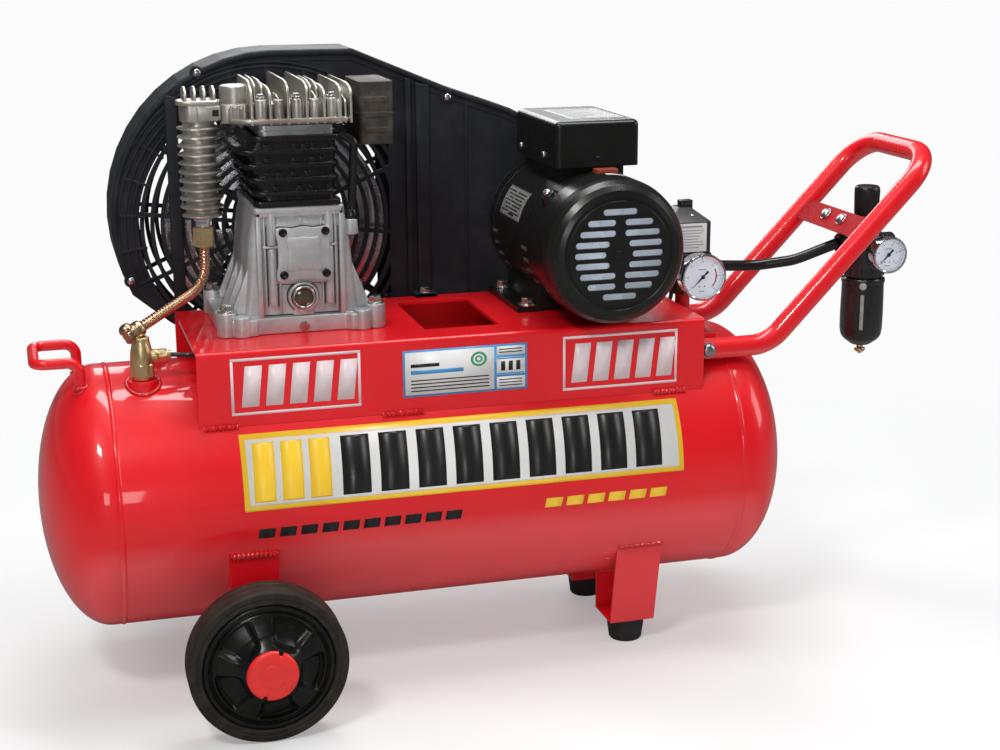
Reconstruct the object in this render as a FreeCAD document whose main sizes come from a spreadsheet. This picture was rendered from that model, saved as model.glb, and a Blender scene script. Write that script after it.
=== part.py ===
"""Portable belt-driven air compressor: horizontal air receiver on two wheels and two rubber feet, a saddle
platform on top, a twin-cylinder pump driven by an electric motor through a V-belt inside a guard, a
pressure switch with manifold, and a filter regulator hung on the push handle.

Design coordinates: X along the receiver towards the push handle, Y towards the belt guard, Z up, measured
from the receiver's axis at mid length. The cells shift_x and axis_height move everything so that the origin
of the document is on the floor at the centre of the plan outline. "Front" pieces are on the -Y side.
"""
import FreeCAD, Part
import math
import os
import Sketcher
from FreeCAD import Placement, Rotation, Vector

doc = FreeCAD.newDocument("air_compressor")
sheet = doc.addObject("Spreadsheet::Sheet", "Dims")

CELLS = [
    ("shift_x", -92.75), ("axis_height", 220.0),
    # receiver
    ("tank_radius", 150.0), ("tank_half", 443.5), ("dome_depth", 72.0), ("tank_wall", 2.5),
    # saddle platform
    ("plat_start", -270.0), ("plat_end", 320.0), ("plat_half_width", 112.5), ("plat_top", 184.0),
    ("plat_thick", 4.0), ("window_start", -6.0), ("window_end", 82.0), ("window_front", -70.0),
    ("window_back", 78.0), ("drain_x", -215.0),
    # wheels
    ("wheel_radius", 86.5), ("wheel_width", 40.0), ("wheel_x", -221.0), ("wheel_face", 239.0),
    ("wheel_dish", 20.0), ("axle_radius", 8.0), ("hub_radius", 71.0), ("cap_radius", 28.0),
    # feet
    ("foot_x", 240.0), ("foot_y", 76.0), ("foot_plate", -191.0), ("foot_width", 56.0),
    # pump
    ("pump_x", -140.0), ("crank_height", 276.0), ("pump_base_top", 204.0), ("block_bottom", 328.0),
    ("block_top", 416.0), ("bore_radius", 29.0), ("throw", 19.0), ("rod_length", 95.0),
    ("cyl_front", -4.0), ("cyl_back", 60.0),
    # drive
    ("belt_plane", 157.0), ("flywheel_radius", 135.0), ("pulley_radius", 57.0),
    ("belt_depth", 8.0), ("belt_width", 10.0),
    # motor
    ("motor_x", 201.0), ("motor_height", 273.0), ("frame_radius", 79.5), ("cover_radius", 83.5),
    ("cover_front", -148.0), ("frame_front", -98.0), ("frame_back", 112.0),
    # handle
    ("tube_radius", 12.5), ("handle_y", 89.0), ("handle_low", 141.0), ("handle_top", 358.5),
    ("handle_reach", 621.0),
    # gauges, switch, regulator
    ("man_x", 349.0), ("man_y", 30.0), ("gauge_height", 216.0), ("gauge_radius", 27.5),
    ("reg_x", 582.0), ("reg_gauge_radius", 23.0), ("knob_radius", 15.0), ("bowl_radius", 27.0),
]
for row, (alias, number) in enumerate(CELLS, start=1):
    sheet.set("A%d" % row, alias)
    sheet.set("B%d" % row, repr(number))
    sheet.setAlias("B%d" % row, alias)
doc.recompute()


# ---------------------------------------------------------------- numbers bound to the sheet
class Dim:
    """A number that remembers the sheet expression it came from."""

    def __init__(self, value, text):
        self.value = float(value)
        self.text = text

    def join(self, other, sign, work, swap=False):
        other = as_dim(other)
        first, second = (other, self) if swap else (self, other)
        text = "(%s %s %s)" % (first.text, sign, second.text)
        return Dim(work(first.value, second.value), text)

    def __add__(self, other): return self.join(other, "+", lambda a, b: a + b)
    def __radd__(self, other): return self.join(other, "+", lambda a, b: a + b, True)
    def __sub__(self, other): return self.join(other, "-", lambda a, b: a - b)
    def __rsub__(self, other): return self.join(other, "-", lambda a, b: a - b, True)
    def __mul__(self, other): return self.join(other, "*", lambda a, b: a * b)
    def __rmul__(self, other): return self.join(other, "*", lambda a, b: a * b, True)
    def __truediv__(self, other): return self.join(other, "/", lambda a, b: a / b)
    def __neg__(self): return Dim(-self.value, "(0 - %s)" % self.text)


def as_dim(x):
    if isinstance(x, Dim):
        return x
    return Dim(x, "(%r)" % float(x) if x < 0 else "%r" % float(x))


def cell(alias):
    return Dim(sheet.get(alias), "Dims." + alias)


def bind(obj, prop, size):
    size = as_dim(size)
    setattr(obj, prop, size.value)
    obj.setExpression(prop, size.text)


shift_x, axis_height = cell("shift_x"), cell("axis_height")


def place(obj, x, y, z, turn=Rotation()):
    """Puts an object at design coordinates, bound to the sheet."""
    base = (shift_x + x, as_dim(y), axis_height + z)
    obj.Placement = Placement(Vector(*[part.value for part in base]), turn)
    for axis, part in zip("xyz", base):
        obj.setExpression("Placement.Base." + axis, part.text)


# ---------------------------------------------------------------- solids and booleans
# turns the Z axis of a primitive to the named axis
AIM = {
    "z": Rotation(), "-z": Rotation(Vector(1, 0, 0), 180),
    "y": Rotation(Vector(1, 0, 0), -90), "-y": Rotation(Vector(1, 0, 0), 90),
    "x": Rotation(Vector(0, 1, 0), 90), "-x": Rotation(Vector(0, 1, 0), -90),
}
# turns a body's Y axis, the axis of every revolved piece, to the named axis
SPIN = {
    "y": Rotation(), "-y": Rotation(Vector(1, 0, 0), 180),
    "z": Rotation(Vector(1, 0, 0), 90), "-z": Rotation(Vector(1, 0, 0), -90),
    "x": Rotation(Vector(0, 0, 1), -90), "-x": Rotation(Vector(0, 0, 1), 90),
}
# turns a padded sketch: plan = (X, Y) extruded towards +Z, front = (X, Z) extruded towards -Y,
# side = (Y, Z) extruded towards +X
FACE = {"plan": Rotation(), "front": Rotation(Vector(1, 0, 0), 90),
        "side": Rotation(Vector(1, 1, 1), 120)}


def primitive(kind, x, y, z, turn, **sizes):
    obj = doc.addObject("Part::" + kind, kind)
    for prop, size in sizes.items():
        bind(obj, prop, size)
    place(obj, x, y, z, turn)
    return obj


def box(x0, x1, y0, y1, z0, z1):
    """Box between design coordinates."""
    x0, x1, y0, y1, z0, z1 = map(as_dim, (x0, x1, y0, y1, z0, z1))
    return primitive("Box", x0, y0, z0, AIM["z"], Length=x1 - x0, Width=y1 - y0, Height=z1 - z0)


def cyl(x, y, z, radius, length, axis="z"):
    """Cylinder from a start point along an axis."""
    return primitive("Cylinder", x, y, z, AIM[axis], Radius=radius, Height=length)


def hexagon(x, y, z, flats, length, axis="z"):
    """Hexagonal prism, sized across flats."""
    obj = primitive("Prism", x, y, z, AIM[axis],
                    Circumradius=as_dim(flats) / math.sqrt(3), Height=length)
    obj.Polygon = 6
    return obj


def fuse(*shapes):
    obj = doc.addObject("Part::MultiFuse", "fuse")
    obj.Shapes = list(shapes)
    return obj


def cut(base, *tools):
    tool = tools[0] if len(tools) == 1 else fuse(*tools)
    obj = doc.addObject("Part::Cut", "cut")
    obj.Base, obj.Tool = base, tool
    return obj


def group(*links):
    obj = doc.addObject("Part::Compound", "group")
    obj.Links = list(links)
    return obj


def feature(shape):
    """A shape made with Part's functions in design coordinates, moved into place."""
    obj = doc.addObject("Part::Feature", "feature")
    at = Placement(shape.Placement)
    obj.Shape = shape
    place(obj, at.Base.x, at.Base.y, at.Base.z, at.Rotation)
    return obj


def sketched_body(points):
    """Body with a closed, fully dimensioned polygon of (x, y) points on its XY plane."""
    body = doc.addObject("PartDesign::Body", "body")
    plane = [f for f in body.Origin.OriginFeatures if f.Role == "XY_Plane"][0]
    sketch = body.newObject("Sketcher::SketchObject", body.Name + "_outline")
    sketch.AttachmentSupport = [(plane, "")]
    sketch.MapMode = "FlatFace"
    points = [(x, y) for x, y in points]
    corners = [Vector(as_dim(x).value, as_dim(y).value, 0) for x, y in points]
    total = len(points)
    for i in range(total):
        sketch.addGeometry(Part.LineSegment(corners[i], corners[(i + 1) % total]), False)
    for i in range(total):
        sketch.addConstraint(Sketcher.Constraint("Coincident", i, 2, (i + 1) % total, 1))
    for i, point in enumerate(points):
        for kind, size in zip(("DistanceX", "DistanceY"), point):
            rule = Sketcher.Constraint(kind, -1, 1, i, 1, as_dim(size).value)
            index = sketch.addConstraint(rule)
            if isinstance(size, Dim):
                sketch.setExpression("Constraints[%d]" % index, size.text)
    return body, sketch


def revolve(points, x, y, z, axis):
    """Profile of (radius, height) turned once; its height runs along the axis from x, y, z."""
    body, sketch = sketched_body(points)
    turned = body.newObject("PartDesign::Revolution", body.Name + "_turn")
    turned.Profile = sketch
    turned.ReferenceAxis = (sketch, ["V_Axis"])
    turned.Angle = 360.0
    place(body, x, y, z, SPIN[axis])
    return body


def pad(points, length, face, x, y, z):
    body, sketch = sketched_body(points)
    padded = body.newObject("PartDesign::Pad", body.Name + "_pad")
    padded.Profile = sketch
    bind(padded, "Length", length)
    place(body, x, y, z, FACE[face])
    return body


def along_pad(edge):
    """True for the straight edges along the pad, in the body's own frame."""
    tangent = edge.tangentAt(edge.FirstParameter)
    return isinstance(edge.Curve, Part.Line) and abs(tangent.z) > 0.99


def round_body(body, radius, picked=along_pad):
    """Fillets the picked edges of a body's tip."""
    doc.recompute()
    tip = body.Tip
    names = ["Edge%d" % i for i, edge in enumerate(tip.Shape.Edges, start=1) if picked(edge)]
    fillet = body.newObject("PartDesign::Fillet", body.Name + "_round")
    fillet.Base = (tip, names)
    bind(fillet, "Radius", radius)
    doc.recompute()


def round_box(base, radius, picked=lambda edge: True):
    """Rounded copy of a box; edges are picked in document coordinates."""
    doc.recompute()
    obj = doc.addObject("Part::Fillet", "rounded")
    obj.Base = base
    obj.Edges = [(i, radius, radius) for i, edge in enumerate(base.Shape.Edges, start=1)
                 if picked(edge)]
    return obj


def bent_path(points, radii):
    """Wire of straight runs with a tangent arc at each inner point."""
    points = [Vector(*p) for p in points]
    edges, start = [], points[0]
    for before, corner, after, radius in zip(points, points[1:], points[2:], radii):
        back, ahead = (before - corner).normalize(), (after - corner).normalize()
        half = math.acos(back.dot(ahead)) / 2
        reach = radius / math.tan(half)
        arc_start, arc_end = corner + back * reach, corner + ahead * reach
        inward = (back + ahead).normalize()
        arc_mid = corner + inward * (radius / math.sin(half)) - inward * radius
        edges.append(Part.LineSegment(start, arc_start).toShape())
        edges.append(Part.Arc(arc_start, arc_mid, arc_end).toShape())
        start = arc_end
    edges.append(Part.LineSegment(start, points[-1]).toShape())
    return Part.Wire(edges)


def tube(path, outer, inner=0.0):
    """Solid round bar, or a tube, swept along a wire."""
    first = path.OrderedEdges[0]
    start, tangent = first.valueAt(first.FirstParameter), first.tangentAt(first.FirstParameter)

    def swept(radius):
        ring = Part.Wire([Part.Circle(start, tangent, radius).toShape()])
        shape = path.makePipeShell([ring], True, True)
        return shape if shape.ShapeType == "Solid" else Part.Solid(shape)
    bar = swept(outer)
    return bar.cut(swept(inner)) if inner else bar


NODES = {}


def node(name, obj):
    """Registers a finished piece for export."""
    obj.Label = name
    NODES[name] = obj


def opposite(axis):
    return axis[1:] if axis.startswith("-") else "-" + axis


def step(point, axis, distance):
    """Point moved along a signed axis."""
    moved = list(point)
    moved["xyz".index(axis[-1])] += -distance if axis.startswith("-") else distance
    return moved


SIDES = (-1, 1)                    # front (-Y), rear (+Y)
INWARD = {-1: "y", 1: "-y"}        # from each side towards the middle


def span(side, near, far):
    """Y range between two distances from the middle, lowest first."""
    return (near, far) if side > 0 else (-far, -near)


# ---------------------------------------------------------------- shared dimensions
plat_top, plat_thick = cell("plat_top"), cell("plat_thick")
foot_x, foot_y, foot_plate = cell("foot_x"), cell("foot_y"), cell("foot_plate")
tube_radius, handle_y = cell("tube_radius"), cell("handle_y")
pump_x, crank_z = cell("pump_x"), cell("crank_height")
motor_x, motor_z = cell("motor_x"), cell("motor_height")
man_x, man_y, gauge_z = cell("man_x"), cell("man_y"), cell("gauge_height")
drain_x, reg_x = cell("drain_x"), cell("reg_x")

PUMP_BOLTS = [(x, y) for x in (-226.0, -56.0) for y in (-38.0, 90.0)]
HEAD_BOLTS = [(x, y) for x in (-180.0, -139.0, -100.0) for y in (-39.0, 95.0)]
CHECK_VALVE = (-323, -53)          # x, y of its upright axis
COOLER_X = -243                    # upright axis of the aftercooler, at y = 0

# ---------------------------------------------------------------- fasteners and their clearance holes
HOLE_PLAY = 0.25
BOLTS = []


def bolt(parts, seat, out, kind, head, high, radius, length, nut=None):
    """Lists a bolt and the pieces it needs holes in. The head (hex across flats, or diameter) stands
    out from the seat by high; the shank runs the other way; nut is the nut's distance below the seat."""
    BOLTS.append((parts.split(), seat, out, kind, head, high, radius, length, nut))


def holes(part):
    """Clearance holes for every bolt that goes through the named piece."""
    return [cyl(*step(seat, out, 0.5), radius + HOLE_PLAY, length + 1.0, opposite(out))
            for parts, seat, out, _, _, _, radius, length, _ in BOLTS if part in parts]


def bolt_solid(seat, out, kind, head, high, radius, length, nut):
    if kind == "hex":
        head_solid = hexagon(*seat, head, high, out)
    else:
        head_solid = cyl(*seat, head / 2.0, high, out)
    bits = [head_solid, cyl(*seat, radius, length, opposite(out))]
    if kind == "socket":
        return cut(fuse(*bits), hexagon(*step(seat, out, high * 0.45), head * 0.42, high, out))
    if kind == "hex":
        bits.append(cyl(*seat, head * 0.62, 1.5, out))      # washer face
    if nut:
        bits.append(hexagon(*step(seat, out, -nut), head, 6.0, opposite(out)))
    return fuse(*bits)


# pump and motor feet
for x, y in PUMP_BOLTS:
    bolt("crankcase platform", (x, y, 212.0), "z", "hex", 13.0, 6.0, 4.0, 40.0, nut=33.0)
for dx in (-67.0, 67.0):
    for y in (-11.0, 96.0):
        bolt("motor_frame platform", (motor_x + dx, y, 191.0), "z", "hex", 13.0, 6.0, 4.0, 20.0,
             nut=12.0)
# push handle tubes
for side in SIDES:
    bolt("push_handle platform", (330.0, side * (handle_y + tube_radius), 142.0),
         opposite(INWARD[side]), "dome", 15.0, 5.0, 4.0, 36.0)
# rubber feet; the legs and feet are made with their own holes
for side in SIDES:
    bolt("", (foot_x, side * foot_y, foot_plate + 3), "z", "hex", 13.0, 5.5, 4.0, 16.0)
# bearing cover
for dx in (-24.0, 24.0):
    for dz in (-24.0, 24.0):
        bolt("bearing_cover crankcase", (-137.0 + dx, -47.1, crank_z + dz), "-y", "socket",
             9.5, 3.0, 2.5, 14.0)
for x, y in HEAD_BOLTS:
    bolt("cylinder_head valve_plate cylinder_block", (x, y, 452.0), "z", "hex", 11.0, 6.0, 3.0, 50.0)
# belt guard screws (x, z) and the foot of the guard
for x, z in ((-229.0, 464.0), (72.0, 426.0), (-318.0, 222.0), (250.0, 215.0), (-150.0, 132.0)):
    bolt("belt_guard_front", (x, 117.5, z), "-y", "dome", 9.0, 2.6, 2.0, 12.0)
bolt("belt_guard_front platform", (37.0, 106.0, 188.5), "z", "hex", 11.0, 5.0, 3.0, 9.0)
# capacitor box screws
for y in (-12.0, 78.0):
    bolt("capacitor_box", (154.0, y, 369.0), "-x", "dome", 8.0, 2.6, 2.0, 2.5)
# oil drain plug
bolt("crankcase", (pump_x, -42.1, 192.2), "-y", "hex", 11.0, 5.0, 4.5, 10.0)

# ---------------------------------------------------------------- receiver
tank_radius, dome_depth = cell("tank_radius"), cell("dome_depth")
dome_start = cell("tank_half") - dome_depth


def vessel(grow):
    """Cylinder with two ellipsoidal ends, its surface moved outwards by grow."""
    barrel = cyl(-dome_start, 0, 0, tank_radius + grow, dome_start * 2, "x")
    ends = []
    for side, axis in ((-1, "-x"), (1, "x")):
        dome = primitive("Ellipsoid", dome_start * side, 0, 0, AIM[axis],
                         Radius1=dome_depth + grow, Radius2=tank_radius + grow,
                         Radius3=tank_radius + grow)
        dome.Angle1, dome.Angle2, dome.Angle3 = 0.0, 90.0, 360.0
        ends.append(dome)
    return fuse(barrel, *ends)


hull = vessel(0.1)                 # trims the pieces that sit on the receiver
skin = vessel(0)
cavity = vessel(-cell("tank_wall"))
sockets = [cyl(*CHECK_VALVE, 128, 17, 18), cyl(man_x, man_y, 136, 14, 22),
           cyl(drain_x, 0, -158, 12, 20)]
node("tank", cut(
    cut(fuse(skin, *sockets), cavity),
    cyl(*CHECK_VALVE, 100, 8, 60), cyl(man_x, man_y, 120, 8, 60), cyl(drain_x, 0, -170, 6.1, 50)))

# ---------------------------------------------------------------- saddle platform
plat_start, plat_half = cell("plat_start"), cell("plat_half_width")
skirt_z = 94                       # lower edge of the two skirts
web_half, web_z = plat_half - plat_thick, plat_top - plat_thick
saddle = pad([(-plat_half, skirt_z), (-web_half, skirt_z), (-web_half, web_z), (web_half, web_z),
              (web_half, skirt_z), (plat_half, skirt_z), (plat_half, plat_top),
              (-plat_half, plat_top)],
             cell("plat_end") - plat_start, "side", plat_start, 0, 0)


def saddle_corner(edge):
    """The two long outer edges on top."""
    point = edge.valueAt(0)
    return (along_pad(edge) and abs(abs(point.x) - plat_half.value) < 0.1
            and abs(point.y - plat_top.value) < 0.1)


round_body(saddle, 5.0, saddle_corner)
# upright tabs at the handle end: x end, z range
tabs = [box(282, x1, side * 74.5 - 1.5, side * 74.5 + 1.5, z0, z1)
        for x1, z0, z1 in ((350, 122, 156), (318, 150, 181)) for side in SIDES]
window = box(cell("window_start"), cell("window_end"), cell("window_front"), cell("window_back"),
             170, 200)
node("platform", cut(fuse(saddle, *tabs), hull, window, *holes("platform")))

# ---------------------------------------------------------------- legs, feet and axles
wheel_x, wheel_radius, axle_radius = cell("wheel_x"), cell("wheel_radius"), cell("axle_radius")
wheel_z = wheel_radius - axis_height
foot_width = cell("foot_width")
legs = []
for side in SIDES:
    # axle leg: a box open towards the middle and at top and bottom
    outer = box(wheel_x - 27, wheel_x + 27, *span(side, 97, 147), wheel_z - 24, -38)
    inner = box(wheel_x - 24, wheel_x + 24, *span(side, 90, 144), wheel_z - 30, -30)
    legs.append(cut(outer, inner, hull, cyl(wheel_x, -260, wheel_z, 11.1, 520, "y")))
    # bent leg standing on the rubber foot: (y, z)
    bent = [(124, -76), (100, foot_plate), (45, foot_plate), (45, -130), (48, -130),
            (48, foot_plate + 3), (97.6, foot_plate + 3), (121, -76)]
    leg = pad([(float(y * side), z) for y, z in bent], foot_width, "side",
              foot_x - foot_width / 2, 0, 0)
    legs.append(cut(leg, hull, cyl(foot_x, side * foot_y, -200, 4.25, 20)))
node("tank_legs", group(*legs))

foot_profile = [(4.25, 10), (8.5, 10), (8.5, 0), (18.5, 0), (20, 2), (23.5, 28.9), (4.25, 28.9)]
node("rubber_feet", group(*[revolve(foot_profile, foot_x, foot_y * side, -axis_height, "z")
                            for side in SIDES]))
axle_profile = [(0, 0), (7, 0), (axle_radius, 1), (axle_radius, 32.5), (11, 32.5), (11, 130),
                (0, 130)]
node("stub_axles", group(*[revolve(axle_profile, wheel_x, 232 * side, wheel_z, INWARD[side])
                           for side in SIDES]))

# ---------------------------------------------------------------- wheels
wheel_face, wheel_width, dish = cell("wheel_face"), cell("wheel_width"), cell("wheel_dish")
hub_radius, cap_radius = cell("hub_radius"), cell("cap_radius")
bead, tread = hub_radius + 0.05, wheel_radius - 1.2
# profiles: (radius, depth from the wheel's outer face)
tyre_profile = [
    (bead, 2), (hub_radius + 3, 0), (wheel_radius - 5, 0), (tread, 1.4), (wheel_radius, 5),
    (wheel_radius, wheel_width - 5), (tread, wheel_width - 1.4), (wheel_radius - 5, wheel_width),
    (hub_radius + 3, wheel_width), (bead, wheel_width - 2)]
hub_profile = [
    (axle_radius + 0.05, 3 - dish), (24.45, 3 - dish), (24.45, 12.9 - dish), (42, 14 - dish),
    (62, 3), (66, 5), (68, 3), (hub_radius, 3), (hub_radius, wheel_width - 3),
    (66, wheel_width - 3), (63, 14), (42, 21 - dish), (16, 19 - dish), (16, 38),
    (axle_radius + 0.05, 38)]
cap_profile = [
    (0, -3 - dish), (cap_radius - 3, -3 - dish), (cap_radius, -dish), (cap_radius, 2.5 - dish),
    (cap_radius - 1.5, 2.5 - dish), (cap_radius - 1.5, 12.5 - dish),
    (cap_radius - 3.5, 12.5 - dish), (cap_radius - 3.5, 2.5 - dish), (0, 2.5 - dish)]
for side, name in zip(SIDES, ("front", "rear")):
    at = (wheel_x, wheel_face * side, wheel_z, INWARD[side])
    node(name + "_tyre", revolve(tyre_profile, *at))
    # five round recesses in the outer face of the hub
    pocket_y = span(side, wheel_face + 2.2, wheel_face + 12)[0]
    pockets = [cyl(wheel_x + 43 * math.cos(math.radians(angle)), pocket_y,
                   wheel_z + 43 * math.sin(math.radians(angle)), 12, 9.8, "y")
               for angle in range(18, 360, 72)]
    node(name + "_hub", cut(revolve(hub_profile, *at), *pockets))
    # cap with a hexagon in the middle and two notches in its rim
    crest = wheel_face + dish
    boss = hexagon(wheel_x, span(side, crest + 2, crest + 4)[0], wheel_z, 22, 2.0, "y")
    notches = [box(wheel_x - 2, wheel_x + 2, *span(side, crest - 2, crest + 4),
                   wheel_z + dz - 2.5, wheel_z + dz + 2.5) for dz in (-27, 27)]
    node(name + "_hub_cap", cut(fuse(revolve(cap_profile, *at), boss), *notches))

# ---------------------------------------------------------------- handles
hook = bent_path([(-390, -45, 120), (-390, -45, 168), (-438, -45, 168), (-438, 45, 168),
                  (-390, 45, 168), (-390, 45, 120)], [13.0] * 4)
node("carry_handle", cut(feature(tube(hook, 6.0)), hull))

SLOPE = 1.0176                     # rise over run of the sloping part of the push handle
TUBE_WALL = 1.6
half_y, low_z = handle_y.value, cell("handle_low").value
reach_x, top_z = cell("handle_reach").value, cell("handle_top").value
bend_x = 430 + (low_z - 159) / SLOPE
bar = bent_path([(286, -half_y, low_z), (bend_x, -half_y, low_z), (reach_x, -half_y, top_z),
                 (reach_x, half_y, top_z), (bend_x, half_y, low_z), (286, half_y, low_z)],
                [52.0, 46.0, 46.0, 52.0])
frame_bar = feature(tube(bar, tube_radius.value, tube_radius.value - TUBE_WALL))

# the cross plate lies in the slope, between the tubes; the regulator is bolted to it at two spots
slope_angle = math.degrees(math.atan(SLOPE))
slope_turn = Rotation(Vector(0, 1, 0), -slope_angle)
normal = Vector(-math.sin(math.radians(slope_angle)), 0, math.cos(math.radians(slope_angle)))
plate = Part.makeBox(30, 156, 3)
plate.Placement = Placement(Vector(523.9, -78, 261.0), slope_turn)


def plate_cylinders(radius, length, offset):
    """Cylinders square to the cross plate at its two bolt spots."""
    return [Part.makeCylinder(radius, length, Vector(534.0, y, 275.2) + normal * offset, normal)
            for y in (14.0, -28.0)]


plate_holes = [feature(shape) for shape in plate_cylinders(3.25, 16, -10)]
cross = cut(feature(plate), feature(tube(bar, tube_radius.value)), *plate_holes)
node("push_handle", group(cut(frame_bar, *holes("push_handle")), cross))

# ---------------------------------------------------------------- crankcase
block_bottom, block_top = cell("block_bottom"), cell("block_top")
bore_radius = cell("bore_radius")
cylinder_ys = (cell("cyl_front"), cell("cyl_back"))
BEARING_BORE, CRANK_SEAT = 8.55, 17.5       # inner radius of all bearings, outer on the crank

housing = pad([(pump_x - 66, 200), (pump_x + 66, 200), (pump_x + 58, 284),
               (pump_x + 50, block_bottom), (pump_x - 50, block_bottom), (pump_x - 58, 284)],
              135.0, "front", 0, 95, 0)
round_body(housing, 5.0)
base = pad([(pump_x - 95, -33), (pump_x - 82, -50), (pump_x + 79, -50), (pump_x + 92, -33),
            (pump_x + 92, 105), (pump_x - 95, 105)],
           cell("pump_base_top") - plat_top, "plan", 0, 0, plat_top)
lugs = [cyl(x, y, 184, 11.5, 28) for x, y in PUMP_BOLTS]
ribs = [box(pump_x - 84, pump_x + 82, y - 3, y + 3, 200, 211) for y in (-30.0, 8.0, 46.0, 84.0)]
ribs += [pad([(pump_x - 84, 204), (pump_x + 82, 204), (pump_x + 60, 262), (pump_x - 60, 262)],
             6.0, "front", 0, y + 3, 0) for y in (8.0, 66.0)]
# raised rim (x range from the pump's axis, lower z) and posts on the front face
rim = [box(pump_x + x0, pump_x + x1, -43, -39, z0, 325)
       for x0, x1, z0 in ((-48, 47, 318), (-48, -43, 204), (42, 47, 204))]
posts = [cyl(pump_x + dx, -40, z, 4.5, height)
         for dx in (-34.0, 33.0) for z, height in ((216.0, 62.0), (284.0, 36.0))]
shoulder = cyl(pump_x, 80, crank_z, 34, 35, "y")
inside = [
    cyl(pump_x, -20, crank_z, 45, 98, "y"),
    box(pump_x - 50, pump_x + 50, -20, 78, 209, 262),
    cyl(pump_x, -45, crank_z, CRANK_SEAT + 0.05, 70, "y"),
    cyl(pump_x, 70, crank_z, 10.6, 60, "y"),
    cyl(pump_x, 78, crank_z, CRANK_SEAT + 0.05, 24, "y"),
    box(pump_x - 53, pump_x + 52, -55, -42, 180, 200.5),
    cyl(-139, -60, 225, 9.05, 50, "y"),
    box(pump_x - 36, pump_x + 36, -53, -40, 242, 310)]
inside += [cyl(pump_x, y, crank_z, bore_radius - 1, 80) for y in cylinder_ys]
node("crankcase", cut(fuse(housing, base, *lugs, *ribs, *rim, *posts, shoulder),
                      *inside, *holes("crankcase")))

cover = pad([(-30, 20), (-30, -20), (-26, -31), (-12, -31), (12, -31), (26, -31), (31, -20),
             (31, 20), (26, 30), (-26, 30)], 7.0, "front", -137.5, -40.05, 275)
node("bearing_cover", cut(fuse(cover, cyl(pump_x, -40.05, crank_z, 17.4, 5.8, "y")),
                          cyl(pump_x, -38, crank_z, 13, 8, "y"), *holes("bearing_cover")))
node("sight_glass", revolve([(0, 0), (9.0, 0), (9.0, 18), (13.5, 18), (13.5, 24), (11.5, 25),
                             (10, 25), (10, 22), (0, 22)], -139, -22, 225, "-y"))

# ---------------------------------------------------------------- cylinder block, valves and head
TOP_Y = (-46, 102)                 # y range of the block's flanges, the valve plate and the head
# cooling fins: lower z, reach towards -X
fins = [box(pump_x - reach, pump_x + 47, *TOP_Y, z, z + 4)
        for z, reach in ((338.0, 50), (353.0, 66), (368.0, 66), (383.0, 66), (398.0, 66))]
block = fuse(
    box(pump_x - 39, pump_x + 39, -36, 92, block_bottom, block_top),
    box(pump_x - 49, pump_x + 47, *TOP_Y, block_bottom, block_bottom + 5),
    box(pump_x - 50, pump_x + 48, *TOP_Y, block_top - 7, block_top), *fins,
    *[cyl(x, y, block_bottom, 7, block_top - block_bottom) for x, y in HEAD_BOLTS])
node("cylinder_block", cut(block, *[cyl(pump_x, y, 320, bore_radius, 110) for y in cylinder_ys],
                           *holes("cylinder_block")))

head_z = block_top + 6
ports = [cyl(pump_x + dx, y + dy, 410, 4, 20)
         for y in cylinder_ys for dx in (-14.0, 14.0) for dy in (-7.0, 7.0)]
node("valve_plate", cut(box(pump_x - 51, pump_x + 49, *TOP_Y, block_top, head_z),
                        *ports, *holes("valve_plate")))

# upright fins of the head: x, half thickness, top z
HEAD_FINS = [
    (-190.0, 1.8, 466.0), (-169.5, 1.8, 460.0), (-149.0, 1.8, 466.0), (-128.5, 1.8, 465.0),
    (-109.5, 1.8, 460.0), (-91.0, 1.8, 462.0), (-82.0, 1.8, 461.0),
    (-160.0, 1.4, 446), (-119.0, 1.4, 446)]
head = fuse(
    box(pump_x - 53, pump_x + 60, *TOP_Y, head_z, head_z + 14),
    *[box(x - half, x + half, *TOP_Y, head_z, top) for x, half, top in HEAD_FINS],
    box(-220, -190, -26, 40, head_z + 2, head_z + 22), box(-190, -86, 20, 36, head_z, 456),
    cyl(-203, -8, head_z + 4, 17, 34), *[cyl(x, y, head_z, 8, 30) for x, y in HEAD_BOLTS])
chambers = [
    box(-182, -96, -30, 22, head_z - 1, head_z + 11),
    box(-182, -96, 34, 86, head_z - 1, head_z + 11),
    box(-216, -180, -10, 10, head_z + 10, head_z + 26),
    cyl(-90, 20, 444, 8, 20, "x"), box(-105, -80, 12, 28, 430, 452)]
node("cylinder_head", cut(head, *chambers, *holes("cylinder_head")))

# rounded filter box with six slots in its +X face
filter_box = round_box(box(-66, -26, -22, 62, 390, 461), 8.0)
slots = [box(-30, -20, y, y + 6, 400, 452) for y in range(-12, 54, 13)]
node("air_filter", cut(fuse(filter_box, cyl(-79.9, 20, 444, 9, 20, "x")),
                       box(-62, -30, -18, 58, 394, 457), cyl(-85, 20, 444, 7, 30, "x"), *slots))
breather = bent_path([(-91.9, -30, 405), (-76, -30, 405), (-76, -30, 314), (-86.4, -30, 314)],
                     [8.0, 6.0])
node("breather_tube", feature(tube(breather, 4.5, 2.5)))

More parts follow.
